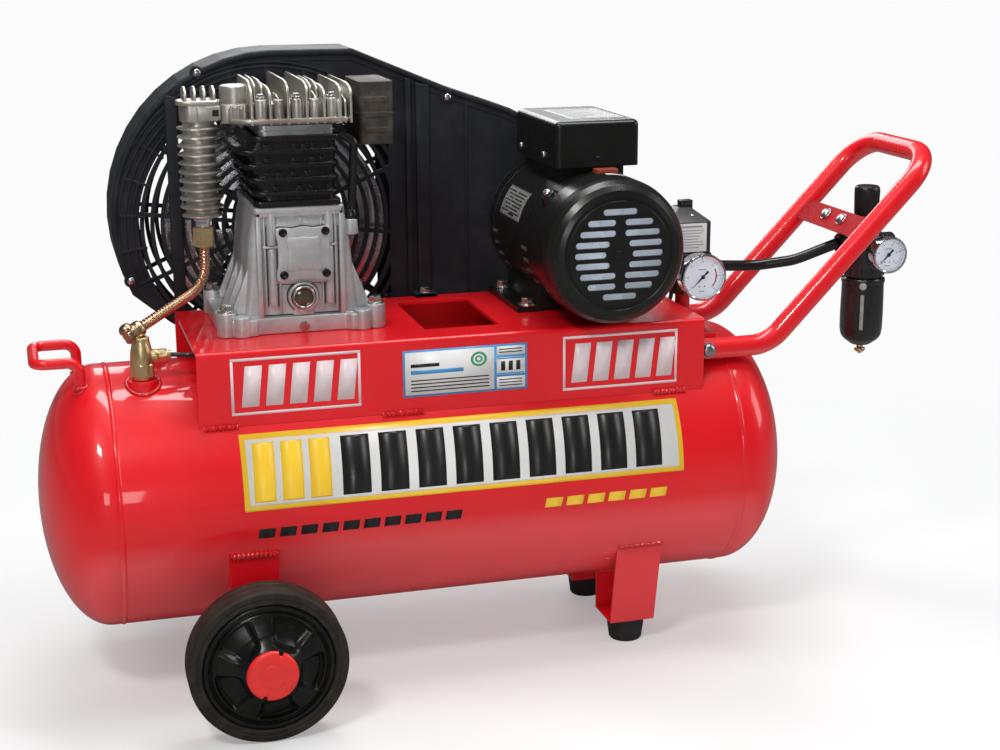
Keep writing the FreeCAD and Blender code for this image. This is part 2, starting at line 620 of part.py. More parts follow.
# ---------------------------------------------------------------- aftercooler and its nuts
FIN_PITCH = 10.2
stack = [(8, 315), (24, 315), (24, 318)]
for k in range(9):
    z = 318 + k * FIN_PITCH
    stack += [(16, z + 1.2), (16, z + 8.0), (24, z + 8.6), (24, z + FIN_PITCH)]
stack += [(16, 318 + 9 * FIN_PITCH + 1.2), (16, 423), (8, 423)]
elbow = cut(
    fuse(box(-261, -220.1, -21, 21, 422, 449), cyl(COOLER_X, 0, 440, 22.4, 5),
         *[box(x - 1.3, x + 1.3, -20, 20, 444, 462) for x in (-256.0, -247.0, -238.0, -229.0)]),
    cyl(COOLER_X, 0, 415, 8, 22), box(-245, -215, -6, 6, 430, 441),
    box(-228, -222, -30, -18, 427, 435))
node("aftercooler", fuse(revolve(stack, COOLER_X, 0, 0, "z"), elbow))
node("tube_nuts", group(
    revolve([(6.6, 0), (9.5, 0), (9.5, 10), (7.9, 10), (7.9, 24), (6.6, 24)],
            COOLER_X, 0, 305, "z"),
    cut(hexagon(COOLER_X, 0, 284, 22, 20.9), cyl(COOLER_X, 0, 280, 6.6, 30))))

# ---------------------------------------------------------------- delivery pipe, check valve, unloader
pipe_bend, pipe_end = Vector(COOLER_X, 0, 238), Vector(-327, -51, 201)
node("discharge_tube", feature(tube(
    bent_path([(COOLER_X, 0, 320), pipe_bend, pipe_end], [38.0]), 5.6, 4.2)))

# the valve's slanting nut follows the last run of the pipe
pipe_dir = (pipe_bend - pipe_end).normalize()


def pipe_clearance():
    return Part.makeCylinder(6.0, 60, pipe_end - pipe_dir * 2, pipe_dir)


slant_nut = Part.makeCylinder(10.0, 22, pipe_end - pipe_dir * 14, pipe_dir).cut(pipe_clearance())
valve_body = fuse(
    hexagon(*CHECK_VALVE, 146.1, 25, 20), cyl(*CHECK_VALVE, 166, 11.5, 22),
    cyl(*CHECK_VALVE, 186, 8.5, 8), cyl(*CHECK_VALVE, 130, 7.9, 18),
    cyl(-314, -53, 167, 5.5, 14, "x"), hexagon(-302, -53, 167, 12, 8, "x"), feature(slant_nut))
node("check_valve", cut(valve_body, cyl(*CHECK_VALVE, 125, 4.5, 62),
                        cyl(-325, -53, 167, 2.6, 50, "x"), feature(pipe_clearance())))
unloader = bent_path([(-298, -53, 167), (-270, -53, 167), (-240, -95, 163), (240, -95, 163),
                      (300, 20, 168), (330, 20, 176), (330, 20, 231.9)], [12, 30, 40, 14, 8])
node("unloader_tube", feature(tube(unloader, 2.5, 1.5)))

# ---------------------------------------------------------------- flywheel and crankshaft
belt_y, belt_depth, belt_width = cell("belt_plane"), cell("belt_depth"), cell("belt_width")
flywheel_radius, pulley_radius = cell("flywheel_radius"), cell("pulley_radius")


def groove(radius):
    """The four profile points of the belt groove in a rim."""
    half, floor = belt_width / 2 + 0.1, radius - belt_depth - 0.2
    return [(radius, -half), (floor, -half), (floor, half), (radius, half)]


rim_inner = flywheel_radius - 22
disc = revolve([(10.05, -22), (22, -22), (22, -14), (rim_inner, -5), (rim_inner, -14),
                (flywheel_radius, -14), *groove(flywheel_radius), (flywheel_radius, 12),
                (rim_inner, 12), (rim_inner, 5), (22, 10), (22, 18), (10.05, 18)],
               pump_x, belt_y, crank_z, "y")
windows = []
for k in range(5):
    angle = math.radians(72 * k + 18)
    windows.append(cyl(pump_x + 66 * math.cos(angle), 140, crank_z + 66 * math.sin(angle),
                       27, 40, "y"))
node("flywheel", cut(disc, *windows))

# three turned lengths between the crank pins: (start y, profile)
CRANK = [
    (-32, [(0, 0), (8.5, 0), (8.5, 13.9), (30, 13.9), (30, 19.5), (0, 19.5)]),
    (8, [(0, 0), (30, 0), (30, 5), (14, 6), (14, 34), (30, 35), (30, 40), (0, 40)]),
    (71, [(0, 0), (30, 0), (30, 5), (8.5, 6.5), (8.5, 27), (10, 28), (10, 104), (0, 104)])]
node("crankshaft", group(*[revolve(points, pump_x, y, crank_z, "y") for y, points in CRANK]))

# ---------------------------------------------------------------- pistons and connecting rods
throw, rod_length = cell("throw").value, cell("rod_length").value
wrist_rise = math.sqrt(rod_length ** 2 - throw ** 2)
wrist_z = crank_z + wrist_rise     # both cranks lie level, one on each side of the axis
wall, ring_floor, skirt = bore_radius - 0.05, bore_radius - 1.5, bore_radius - 3.5
crown_profile = [
    (0, 18), (skirt, 16), (skirt, -18), (wall, -18), (wall, 13.5), (ring_floor, 13.5),
    (ring_floor, 16), (wall, 16), (wall, 19.5), (ring_floor, 19.5), (ring_floor, 22), (wall, 22),
    (wall, 26), (0, 26)]


def rod_outline(big_x, along_x, along_z):
    """Tapering shank as (x, z) points, from its distance along and across the rod."""
    far = rod_length - 6
    return [(big_x + along_x * d - along_z * across, crank_z.value + along_z * d + along_x * across)
            for d, across in ((6, -8.5), (far, -6), (far, 6), (6, 8.5))]


for number, y, side in ((1, cylinder_ys[0], 1.0), (2, cylinder_ys[1], -1.0)):
    crown = revolve(crown_profile, pump_x, y, wrist_z, "z")
    bosses = [cyl(pump_x, y + dy, wrist_z, 11, 17.5, "y") for dy in (-26.5, 9.0)]
    node("piston_%d" % number, group(
        cut(fuse(crown, *bosses), cyl(pump_x, y - 40, wrist_z, 7.0, 80, "y")),
        cyl(pump_x, y - 25, wrist_z, 6.98, 50, "y")))
    # the big end is at crank height, one throw from the axis
    big_x = pump_x.value + side * throw
    outline = rod_outline(big_x, -side * throw / rod_length, wrist_rise / rod_length)
    rod = fuse(pad(outline, 9.0, "front", 0, y + 4.5, 0), cyl(big_x, y - 7, crank_z, 15.0, 14, "y"),
               cyl(pump_x, y - 7, wrist_z, 10.5, 14, "y"))
    node("connecting_rod_%d" % number, group(
        cut(rod, cyl(pump_x, y - 20, wrist_z, 7.04, 40, "y"),
            cyl(big_x, y - 20, crank_z, 8.52, 40, "y")),
        cyl(big_x, y - 7.5, crank_z, 8.5, 15, "y")))


# ---------------------------------------------------------------- bearings
def bearing(x, y, z, outer, inner=BEARING_BORE, width=12):
    """Inner ring, outer ring and a square ring between them."""
    mid, gap = (inner + outer) / 2.0, (outer - inner) / 6.0
    rings = ((inner, mid - gap, 0, width), (mid + gap, outer, 0, width),
             (mid - gap, mid + gap, width / 2 - gap, width / 2 + gap))
    return [revolve([(r0, h0), (r1, h0), (r1, h1), (r0, h1)], x, y, z, "y")
            for r0, r1, h0, h1 in rings]


node("ball_bearings", group(
    *bearing(pump_x, -32.5, crank_z, CRANK_SEAT), *bearing(pump_x, 80, crank_z, CRANK_SEAT),
    *bearing(motor_x, -96, motor_z, 20.0), *bearing(motor_x, 99, motor_z, 20.0)))

# ---------------------------------------------------------------- motor frame, stator and rotor
frame_radius, frame_front = cell("frame_radius"), cell("frame_front")
frame_long = cell("frame_back") - frame_front
SEAT = 20.05                       # radius of the bearing seats
shell = revolve([
    (9.2, 0), (frame_radius + 1.3, 0), (frame_radius + 1.3, 12), (frame_radius, 12),
    (frame_radius, frame_long - 10), (frame_radius - 6, frame_long), (9.2, frame_long),
    (9.2, frame_long - 1), (SEAT, frame_long - 1), (SEAT, frame_long - 13), (26, frame_long - 13),
    (26, frame_long - 7), (frame_radius - 5, frame_long - 12), (frame_radius - 5, 10), (26, 6),
    (26, 14.1), (SEAT, 14.1), (SEAT, 2), (9.2, 2)], motor_x, frame_front, motor_z, "y")
flange_z = plat_top + 7
foot = pad([(motor_x - 82, plat_top), (motor_x + 82, plat_top), (motor_x + 82, flange_z),
            (motor_x + 58, flange_z), (motor_x + 52, 232), (motor_x - 52, 232),
            (motor_x - 58, flange_z), (motor_x - 82, flange_z)], 125.0, "front", 0, 105, 0)
bed = cut(foot, cyl(motor_x, -60, motor_z, frame_radius - 3, 200, "y"),
          box(motor_x - 50, motor_x + 50, -40, 125, 180, 187),
          box(motor_x - 42, motor_x + 42, -12, 97, 180, 240))
# tray on top with a well for the overload button
tray = cut(box(motor_x - 7, motor_x + 25, -81, -60, 340, 354.4),
           cyl(motor_x, -100, motor_z, frame_radius - 4, 60, "y"))
well = box(motor_x - 4.1, motor_x + 22.1, -78.1, -62.9, 350.4, 356)
node("motor_frame", cut(fuse(shell, bed, tray), well, *holes("motor_frame")))
node("overload_button", box(motor_x - 4, motor_x + 22, -78, -63, 352.5, 358.5))
stator_radius = frame_radius - 5.05
node("motor_stator", revolve([(46.0, 0), (stator_radius, 0), (stator_radius, 90), (46.0, 90)],
                             motor_x, -42, motor_z, "y"))
node("motor_rotor", revolve([(0, 0), (8.5, 0), (8.5, 96), (45.5, 96), (45.5, 186), (8.5, 186),
                             (8.5, 312), (0, 312)], motor_x, -138, motor_z, "y"))

# ---------------------------------------------------------------- fan and its cover
blades = []
for k in range(9):
    blade = Part.makeBox(60, 22, 1.6)
    blade.Placement = Placement(Vector(12, 0, -0.8), Rotation())
    blade.rotate(Vector(0, 0, 0), Vector(0, 1, 0), 40.0 * k)
    blade.translate(Vector(motor_x.value, -134, motor_z.value))
    blades.append(feature(blade))
fan_disc = revolve([(BEARING_BORE, 0), (16, 0), (16, 24), (74, 28), (74, 30), (BEARING_BORE, 30)],
                   motor_x, -136, motor_z, "y")
node("motor_fan", cut(fuse(fan_disc, *blades),
                      cyl(motor_x, -150, motor_z, BEARING_BORE, 60, "y")))

cover_radius = cell("cover_radius")
# (radius, depth from the closed front)
fan_cover = revolve([
    (cover_radius - 2.5, 58), (cover_radius, 58), (cover_radius, 24), (cover_radius - 1.5, 15),
    (cover_radius - 6, 7), (cover_radius - 12, 2), (cover_radius - 18, 0), (64, 0), (63, 1.2),
    (61, 1.2), (60, 0), (0, 0), (0, 2), (60, 2), (61, 3.2), (63, 3.2), (64, 2),
    (cover_radius - 18, 2), (cover_radius - 12.6, 4), (cover_radius - 7.6, 8.6),
    (cover_radius - 3.9, 15.6), (cover_radius - 2.5, 24)],
    motor_x, cell("cover_front"), motor_z, "y")
# rows of round-ended slots, mirrored above and below: height from the axis, x range of each slot
VENT_ROWS = [
    (48.0, ((-20.0, 20.0),)),
    (36.0, ((-38.0, -5.0), (6.0, 39.0))),
    (24.0, ((-47.0, -5.0), (6.0, 47.0))),
    (12.0, ((-52.0, -12.0), (11.0, 50.0))),
    (0.0, ((-53.0, -16.0), (15.0, 51.0)))]
SLOT_HALF = 3.5
vents = []
for row_height, spans in VENT_ROWS:
    for dz in {row_height, -row_height}:
        z = motor_z + dz
        for start, end in spans:
            x0, x1 = motor_x + start + SLOT_HALF, motor_x + end - SLOT_HALF
            vents.append(fuse(box(x0, x1, -155, -140, z - SLOT_HALF, z + SLOT_HALF),
                              cyl(x0, -155, z, SLOT_HALF, 15, "y"),
                              cyl(x1, -155, z, SLOT_HALF, 15, "y")))
node("fan_cover", cut(fan_cover, *vents))

# ---------------------------------------------------------------- capacitor box
BOX_BOTTOM = 359
# rounded on the upright edges and around the top
case = round_box(box(154, 256, -58, 102, BOX_BOTTOM, 412), 7.0,
                 lambda edge: edge.BoundBox.ZMin > 5 + axis_height.value + BOX_BOTTOM
                 or edge.BoundBox.ZLength > 40)
neck = box(164, 240, -48, 92, 325, 361)
node("capacitor_box", cut(
    fuse(case, neck), box(157, 253, -55, 99, 362, 409), box(167, 237, -45, 89, 320, 365),
    cyl(motor_x, -120, motor_z, frame_radius + 0.1, 260, "y"), *holes("capacitor_box")))

# ---------------------------------------------------------------- motor pulley and V-belt
node("motor_pulley", revolve([
    (BEARING_BORE, -16), (20, -16), (20, -9), (pulley_radius, -9), *groove(pulley_radius),
    (pulley_radius, 9), (BEARING_BORE, 9)], motor_x, belt_y, motor_z, "y"))


def belt_loop(inset):
    """Area inside a belt run, from tangents and arcs about the two centres, one belt width thick."""
    big, small = flywheel_radius.value - inset, pulley_radius.value - inset
    crank = Vector(pump_x.value, 0, crank_z.value)
    motor = Vector(motor_x.value, 0, motor_z.value)
    line = math.atan2(motor.z - crank.z, motor.x - crank.x)
    wrap = math.acos((big - small) / (motor - crank).Length)
    upper, lower = line + wrap, line - wrap

    def rim_point(centre, radius, angle):
        return Vector(centre.x + radius * math.cos(angle), 0, centre.z + radius * math.sin(angle))
    big_up, big_low = rim_point(crank, big, upper), rim_point(crank, big, lower)
    small_up, small_low = rim_point(motor, small, upper), rim_point(motor, small, lower)
    wire = Part.Wire([
        Part.makeLine(big_up, small_up),
        Part.Arc(small_up, rim_point(motor, small, line), small_low).toShape(),
        Part.makeLine(small_low, big_low),
        Part.Arc(big_low, rim_point(crank, big, line + math.pi), big_up).toShape()])
    return Part.Face(wire).extrude(Vector(0, belt_width.value, 0))


belt = belt_loop(0).cut(belt_loop(belt_depth.value))
belt.translate(Vector(0, belt_y.value - belt_width.value / 2, 0))
node("drive_belt", feature(belt))

# ---------------------------------------------------------------- belt guard, two halves
# outline (x, z): an arc over the flywheel, then measured points round the motor end and back
GUARD = []
for k in range(15):
    angle = math.radians(206 - k * 8.25)
    GUARD.append((-140 + 197 * math.cos(angle), 291 + 197 * math.sin(angle)))
GUARD += [
    (-44, 487.5), (76, 437), (152, 410), (200, 384), (236, 356), (262, 318), (274, 276),
    (266, 236), (248, 206), (222, 188), (150, 176), (60, 156), (-20, 132), (-90, 125),
    (-180, 126), (-232, 140), (-275, 169)]
GUARD_WALL = 2.5
SLOT_CENTRE = Vector(-148, 0, 282)
SLOT_REACH, SLOT_PITCH, SLOT_WIDTH, SPOKES = 186.0, 12.0, 7.0, 12
ALONG_Y = Vector(0, 1, 0)


def polygon_face(points):
    return Part.Face(Part.makePolygon([Vector(x, 0, z) for x, z in points + points[:1]]))


def guard_face(inset=0):
    face = polygon_face(GUARD)
    return face.makeOffset2D(-inset) if inset else face


# the slots keep to the part of the guard around the flywheel
slot_area = guard_face(17).common(polygon_face([(-400, 50), (-2, 50), (-2, 520), (-400, 520)]))


def ring_slots(y, inner):
    """Ring-shaped slots from the inner radius outwards, broken by radial spokes."""
    def disc_face(radius):
        return Part.Face(Part.Wire(Part.makeCircle(radius, SLOT_CENTRE, ALONG_Y)))
    made = []
    radius = inner
    while radius + SLOT_WIDTH <= SLOT_REACH:
        made.append(disc_face(radius + SLOT_WIDTH).cut(disc_face(radius)))
        radius += SLOT_PITCH
    spokes = []
    for k in range(SPOKES):
        spoke = Part.makeBox(SLOT_REACH + 10, 2, 5.0, Vector(0, -1, -2.5))
        spoke.rotate(Vector(0, 0, 0), ALONG_Y, 360.0 / SPOKES * k + 7)
        spoke.translate(SLOT_CENTRE)
        spokes.append(spoke)
    rings = made[0].fuse(made[1:]).cut(spokes[0].fuse(spokes[1:])).common(slot_area)
    solid = rings.extrude(Vector(0, 6.5, 0))
    solid.translate(Vector(0, y, 0))
    return solid


def guard_half(y_face, y_rim, wall, inner):
    """Tray from its closed face to its open rim; wall is signed, pointing towards the rim."""
    depth = Vector(0, y_rim - y_face, 0)
    full = guard_face().extrude(depth)
    full.translate(Vector(0, y_face, 0))
    hollow = guard_face(GUARD_WALL).extrude(depth)
    hollow.translate(Vector(0, y_face + wall, 0))
    return full.cut(hollow).cut(ring_slots(min(y_face, y_face + wall) - 2, inner))


# front half: three raised bars and the foot tab, then round openings for the crank and motor shafts
# size, corner
GUARD_BARS = [
    ((14, 4, 335), (-268.5, 116.5, 150)), ((5, 4, 290), (20, 116.5, 160)),
    ((15, 4, 270), (33, 116.5, 160)), ((26, 24, 4), (24, 97, 184.4))]
front_half = guard_half(120.0, 160.9, GUARD_WALL, 48.0)
bar_area = guard_face().extrude(Vector(0, 60, 0)).translated(Vector(0, 90, 0))
front_half = front_half.fuse([Part.makeBox(*size, Vector(*corner)).common(bar_area)
                              for size, corner in GUARD_BARS])
for radius, x, z in ((35.5, pump_x, crank_z), (26, motor_x, motor_z)):
    front_half = front_half.cut(
        Part.makeCylinder(radius, 20, Vector(x.value, 110, z.value), ALONG_Y))
node("belt_guard_front", cut(feature(front_half), *holes("belt_guard_front")))
node("belt_guard_back", feature(guard_half(204.0, 161.1, -GUARD_WALL, 24.0)))

# ---------------------------------------------------------------- manifold and pressure switch
block = fuse(
    cyl(man_x, man_y, 140, 7.95, 48), hexagon(man_x, man_y, 186, 27, 45.9),
    cyl(man_x, man_y, 196, 15, 28), cyl(man_x, 18, gauge_z, 8, 20, "-y"),
    cyl(man_x, 42, gauge_z, 8, 14, "y"), cyl(man_x + 12, man_y, gauge_z, 8, 14, "x"),
    hexagon(man_x + 24, man_y, gauge_z, 19, 9, "x"))
node("manifold", cut(
    block, cyl(man_x, man_y, 135, 4, 86), cyl(man_x, man_y, gauge_z, 3.0, 40, "-y"),
    cyl(man_x, man_y, gauge_z, 3.0, 40, "y"), cyl(man_x, man_y, gauge_z, 4, 60, "x"),
    cyl(man_x, -1, gauge_z, 4.6, 10, "-y"), cyl(man_x, 46, gauge_z, 5.1, 20, "y")))

# (y, z) outlines of the switch housing and of its hollow
switch_case = pad([(0, 232), (70, 232), (70, 277), (54, 292), (24, 292), (0, 279)],
                  52.0, "side", 321, 0, 0)
switch_hollow = pad([(2.5, 234.5), (67.5, 234.5), (67.5, 276), (53, 289.5), (25, 289.5),
                     (2.5, 277.4)], 47.0, "side", 323.5, 0, 0)
node("pressure_switch", cut(switch_case, switch_hollow, box(342.4, 359.6, 26.4, 39.6, 280, 300),
                            cyl(man_x, man_y, 225, 6, 12), cyl(330, 20, 225, 2.6, 12)))
knob_stem = pad([(-8.5, -6.5), (8.5, -6.5), (8.5, 6.5), (-8.5, 6.5)], 17.0, "plan", 351, 33, 283)
round_body(knob_stem, 2.5)
node("switch_knob", fuse(knob_stem, box(340.5, 361.5, 24.5, 41.5, 279.5, 284)))


# ---------------------------------------------------------------- gauges
def gauge(x, z, radius, y_front, y_back, y_end):
    """Dial gauge facing -Y: case from y_front to y_back, stem on to y_end, and a lens."""
    neck, front = y_end - y_back, y_end - y_front
    case = revolve([
        (0, 0), (5.0, 0), (5.0, neck), (radius - 5, neck), (radius - 1.5, neck + 2),
        (radius - 1.5, front - 6), (radius, front - 6), (radius, front), (radius - 3, front),
        (radius - 3, front - 8), (1.2, front - 8), (1.2, front - 10), (0, front - 10)],
        x, y_end, z, "-y")
    lens = revolve([(0, 0), (radius - 3.1, 0), (radius - 3.1, 1.6), (0, 1.6)],
                   x, y_front + 3.0, z, "-y")
    return group(case, lens)


def needle(x, y, z, length):
    """Pointer with its hub and spindle, drawn at the zero mark."""
    zero = math.radians(225.0)
    c, s = math.cos(zero), math.sin(zero)
    points = [(-6, -1.6), (length, -0.5), (length, 0.5), (-6, 1.6)]
    blade = pad([(p * c - q * s, p * s + q * c) for p, q in points], 0.8, "front", x, y + 0.4, z)
    hub = revolve([(0, -1.9), (1.1, -1.9), (1.1, -0.6), (2.6, -0.6), (2.6, 0.9), (0, 0.9)],
                  x, y, z, "-y")
    return fuse(blade, hub)


node("tank_gauge", gauge(man_x, gauge_z, cell("gauge_radius"), -40.0, -14.0, -2.1))
node("tank_gauge_needle", needle(man_x, -35.0, gauge_z, 18.0))
node("regulator_gauge", gauge(reg_x, 235, cell("reg_gauge_radius"), -68.0, -46.0, -22.0))
node("regulator_gauge_needle", needle(reg_x, -63.0, 235, 16.0))

# ---------------------------------------------------------------- safety valve and hose
valve = fuse(revolve([(0, 0), (5, 0), (5, 9.1), (9.5, 9.1), (9.5, 26), (7, 28), (0, 28)],
                     man_x, 47, gauge_z, "y"), hexagon(man_x, 56.1, gauge_z, 17, 8, "y"))
node("safety_valve", cut(valve, cyl(man_x, 60, gauge_z, 2.05, 30, "y")))
hose_x, ring_z = man_x.value, gauge_z.value
ring = Part.makeTorus(9.0, 1.3, Vector(hose_x, 88.5, ring_z), Vector(1, 0, 0))
pull = Part.makeCylinder(2.0, 20.0, Vector(hose_x, 64, ring_z), ALONG_Y)
node("safety_ring", feature(ring.translated(Vector(0, 4.0, 0)).fuse(pull)))


def sleeve(length, start, bore_start, direction):
    """Bored end sleeve of the hose."""
    outer = Part.makeCylinder(9.5, length, Vector(*start), Vector(*direction))
    return feature(outer.cut(Part.makeCylinder(4.0, 30, Vector(*bore_start), Vector(*direction))))


hose = bent_path([(hose_x + 33.5, 30, 216), (445, 30, 212), (492, 14, 220), (541.2, 0.8, 239.9)],
                 [90.0, 90.0])
sleeves = fuse(sleeve(14, (hose_x + 34, 30, 216), (hose_x + 30, 30, 216), (1, 0, -0.02)),
               sleeve(12, (538.5, 1.6, 238.8), (547, 0, 242), (-52, 14, -21)))
node("air_hose", cut(fuse(feature(tube(hose, 7.2)), sleeves), feature(tube(hose, 4.5))))

# ---------------------------------------------------------------- filter regulator
knob_radius, bowl_radius = cell("knob_radius"), cell("bowl_radius")
# profiles: (radius, z)
core = revolve([
    (0, 196), (24, 196), (24, 213), (25, 215), (25, 246), (22, 252), (18, 254), (18, 266),
    (14.5, 266), (14.5, 274), (11, 274), (11, 286), (8.5, 286), (8.5, 262), (16, 262), (16, 252),
    (0, 252)], reg_x, 0, 0, "z")
arms = fuse(core, box(reg_x - 26, reg_x + 26, -14, 14, 226, 250),
            cyl(reg_x + 20, 0, 238, 12, 19, "x"), cyl(reg_x - 20, 0, 240, 12, 17, "-x"),
            cyl(reg_x, -10, 235, 8, 13, "-y"))
arms = cut(arms, cyl(reg_x, 0, 190, 5, 40), cyl(reg_x + 27, 0, 238, 5.9, 30, "x"),
           cyl(reg_x, 0, 238, 4, 60, "x"), cyl(reg_x, 0, 240, 4, 60, "-x"),
           cyl(reg_x, -5, 235, 3, 40, "-y"), cyl(reg_x, -20, 235, 5.1, 10, "-y"),
           cyl(reg_x - 36, 0, 240, 6, 10, "-x"))
# bracket: a level plate with a flange lying against the cross plate
flange = Part.makeBox(24, 62, 2.9)
flange.Placement = Placement(Vector(527.4, -38, 264.6) - normal * 2.95, slope_turn)
bracket = cut(
    fuse(box(535, 602, -19, 19, 266.05, 269.0), box(535, 547, -38, 24, 266.05, 269.0),
         feature(flange)),
    cyl(reg_x, 0, 260, 14.7, 20), *[feature(shape) for shape in plate_cylinders(3.25, 24, -20)])
node("regulator_body", group(arms, bracket))
node("regulator_knob", revolve([
    (0, 300), (7.0, 300), (8.4, 298), (8.4, 288), (11.05, 288), (11.05, 275),
    (knob_radius - 1, 275), (knob_radius, 277), (knob_radius + 0.6, 308), (knob_radius - 2, 311),
    (0, 312)], reg_x, 0, 0, "z"))
bowl = revolve([
    (3.6, 108), (11, 108), (23, 116), (bowl_radius, 128), (bowl_radius, 188), (25, 195.9),
    (21.5, 195.9), (21.5, 130), (9, 120), (3.6, 120)], reg_x, 0, 0, "z")
node("filter_bowl", cut(bowl, box(reg_x - 4, reg_x + 4, -30, -20, 136, 176)))
node("bowl_drain", revolve([
    (0, 96), (3, 96), (3, 98), (6.5, 98), (7.5, 100), (7.5, 106), (3.5, 107.5), (3.5, 118),
    (0, 118)], reg_x, 0, 0, "z"))

# ---------------------------------------------------------------- receiver's drain tap
tap = revolve([(0, -186), (4, -186), (4, -181), (9, -181), (9, -172), (6, -171), (6, -140),
               (0, -140)], drain_x, 0, 0, "z")
node("drain_tap", fuse(tap, box(drain_x - 14, drain_x + 14, -2, 2, -179, -172)))

# ---------------------------------------------------------------- all the fasteners, as one piece
plate_bolts = [feature(head.fuse(shank)) for head, shank
               in zip(plate_cylinders(6.5, 5, 1.6), plate_cylinders(3.0, 12, -7))]
node("fasteners", group(*[bolt_solid(*spec) for _, *spec in BOLTS], *plate_bolts))

# ---------------------------------------------------------------- check and write
doc.recompute()
bad = [o.Name for o in doc.Objects if any(flag in o.State for flag in ("Invalid", "Error"))]
bad += [name for name, obj in NODES.items()
        if obj.Shape.isNull() or not obj.Shape.isValid() or not obj.Shape.Solids]
if bad:
    raise RuntimeError("not valid: " + ", ".join(bad))
os.makedirs("parts", exist_ok=True)
for name, obj in NODES.items():
    obj.Shape.exportStep("parts/%s.step" % name)
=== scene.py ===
"""Wheeled belt-driven air compressor.

Shapes are drawn in design millimetres: x runs along the receiver (wheels and pump at -x,
push handle and regulator at +x), y runs from front (-y) to back, and z is up from the
receiver's axis. add() moves a shape into the row frame, which is in metres.
"""
import math
import random

import bmesh
import bpy
from mathutils import Matrix, Vector

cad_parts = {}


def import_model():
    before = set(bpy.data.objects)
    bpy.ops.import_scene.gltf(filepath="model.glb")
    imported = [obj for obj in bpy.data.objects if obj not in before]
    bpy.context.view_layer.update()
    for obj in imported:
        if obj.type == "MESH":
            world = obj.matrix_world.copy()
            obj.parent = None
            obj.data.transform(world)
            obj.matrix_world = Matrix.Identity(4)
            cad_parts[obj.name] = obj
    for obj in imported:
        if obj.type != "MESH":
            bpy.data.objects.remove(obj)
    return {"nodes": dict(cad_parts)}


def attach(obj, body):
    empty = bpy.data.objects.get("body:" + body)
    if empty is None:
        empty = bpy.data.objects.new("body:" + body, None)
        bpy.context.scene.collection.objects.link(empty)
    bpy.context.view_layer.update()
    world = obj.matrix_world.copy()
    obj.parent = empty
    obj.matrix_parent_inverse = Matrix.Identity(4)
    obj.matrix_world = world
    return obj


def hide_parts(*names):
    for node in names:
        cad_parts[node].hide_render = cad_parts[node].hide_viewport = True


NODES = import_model()["nodes"]


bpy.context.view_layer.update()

# the design's origin in the row frame, mm
ORIGIN_X, ORIGIN_Z = -92.75, 220.0

# receiver: shell radius, half length over the heads, depth of a head
TANK_R, TANK_HALF, DOME = 150.0, 443.5, 72.0
HEAD_X = TANK_HALF - DOME
# bungs on top of the receiver: x, y, radius, bottom z, top z
BUNGS = ((-323, -53, 17.0, 128, 145.9), (349, 30, 14.0, 136, 158))
PLATFORM_Y = 112.5                          # half width over the platform's skirts
CARRY_X, CARRY_Y, CARRY_WELD_R = -390, 45, 6.6
WHEEL_X, WHEEL_Z, WHEEL_FACE_Y = -221.0, -133.5, 239.0
PUMP_X, CRANK_Z = -140.0, 276.0
PUMP_BOLTS = [(x, y) for x in (-226.0, -56.0) for y in (-38.0, 90.0)]
SIGHT_GLASS = (-139, 0, 225)
BREATHER_Y = -30
COOLER = (-243, 0, 0)
DELIVERY_TIP = Vector((-327, -51, 201))
MOTOR_X, MOTOR_Z, MOTOR_R = 201.0, 273.0, 79.5
REGULATOR_X = 582.0
REGULATOR = (REGULATOR_X, 0, 0)
# x, z of the five screws in the belt guard's front
GUARD_SCREWS = ((-229.0, 464.0), (72.0, 426.0), (-318.0, 222.0), (250.0, 215.0), (-150.0, 132.0))
# the push handle's sloping cross plate
PLATE_SLOPE = math.atan(1.0176)
PLATE_NORMAL = Vector((-math.sin(PLATE_SLOPE), 0, math.cos(PLATE_SLOPE)))
PLATE_ALONG = Vector((math.cos(PLATE_SLOPE), 0, math.sin(PLATE_SLOPE)))


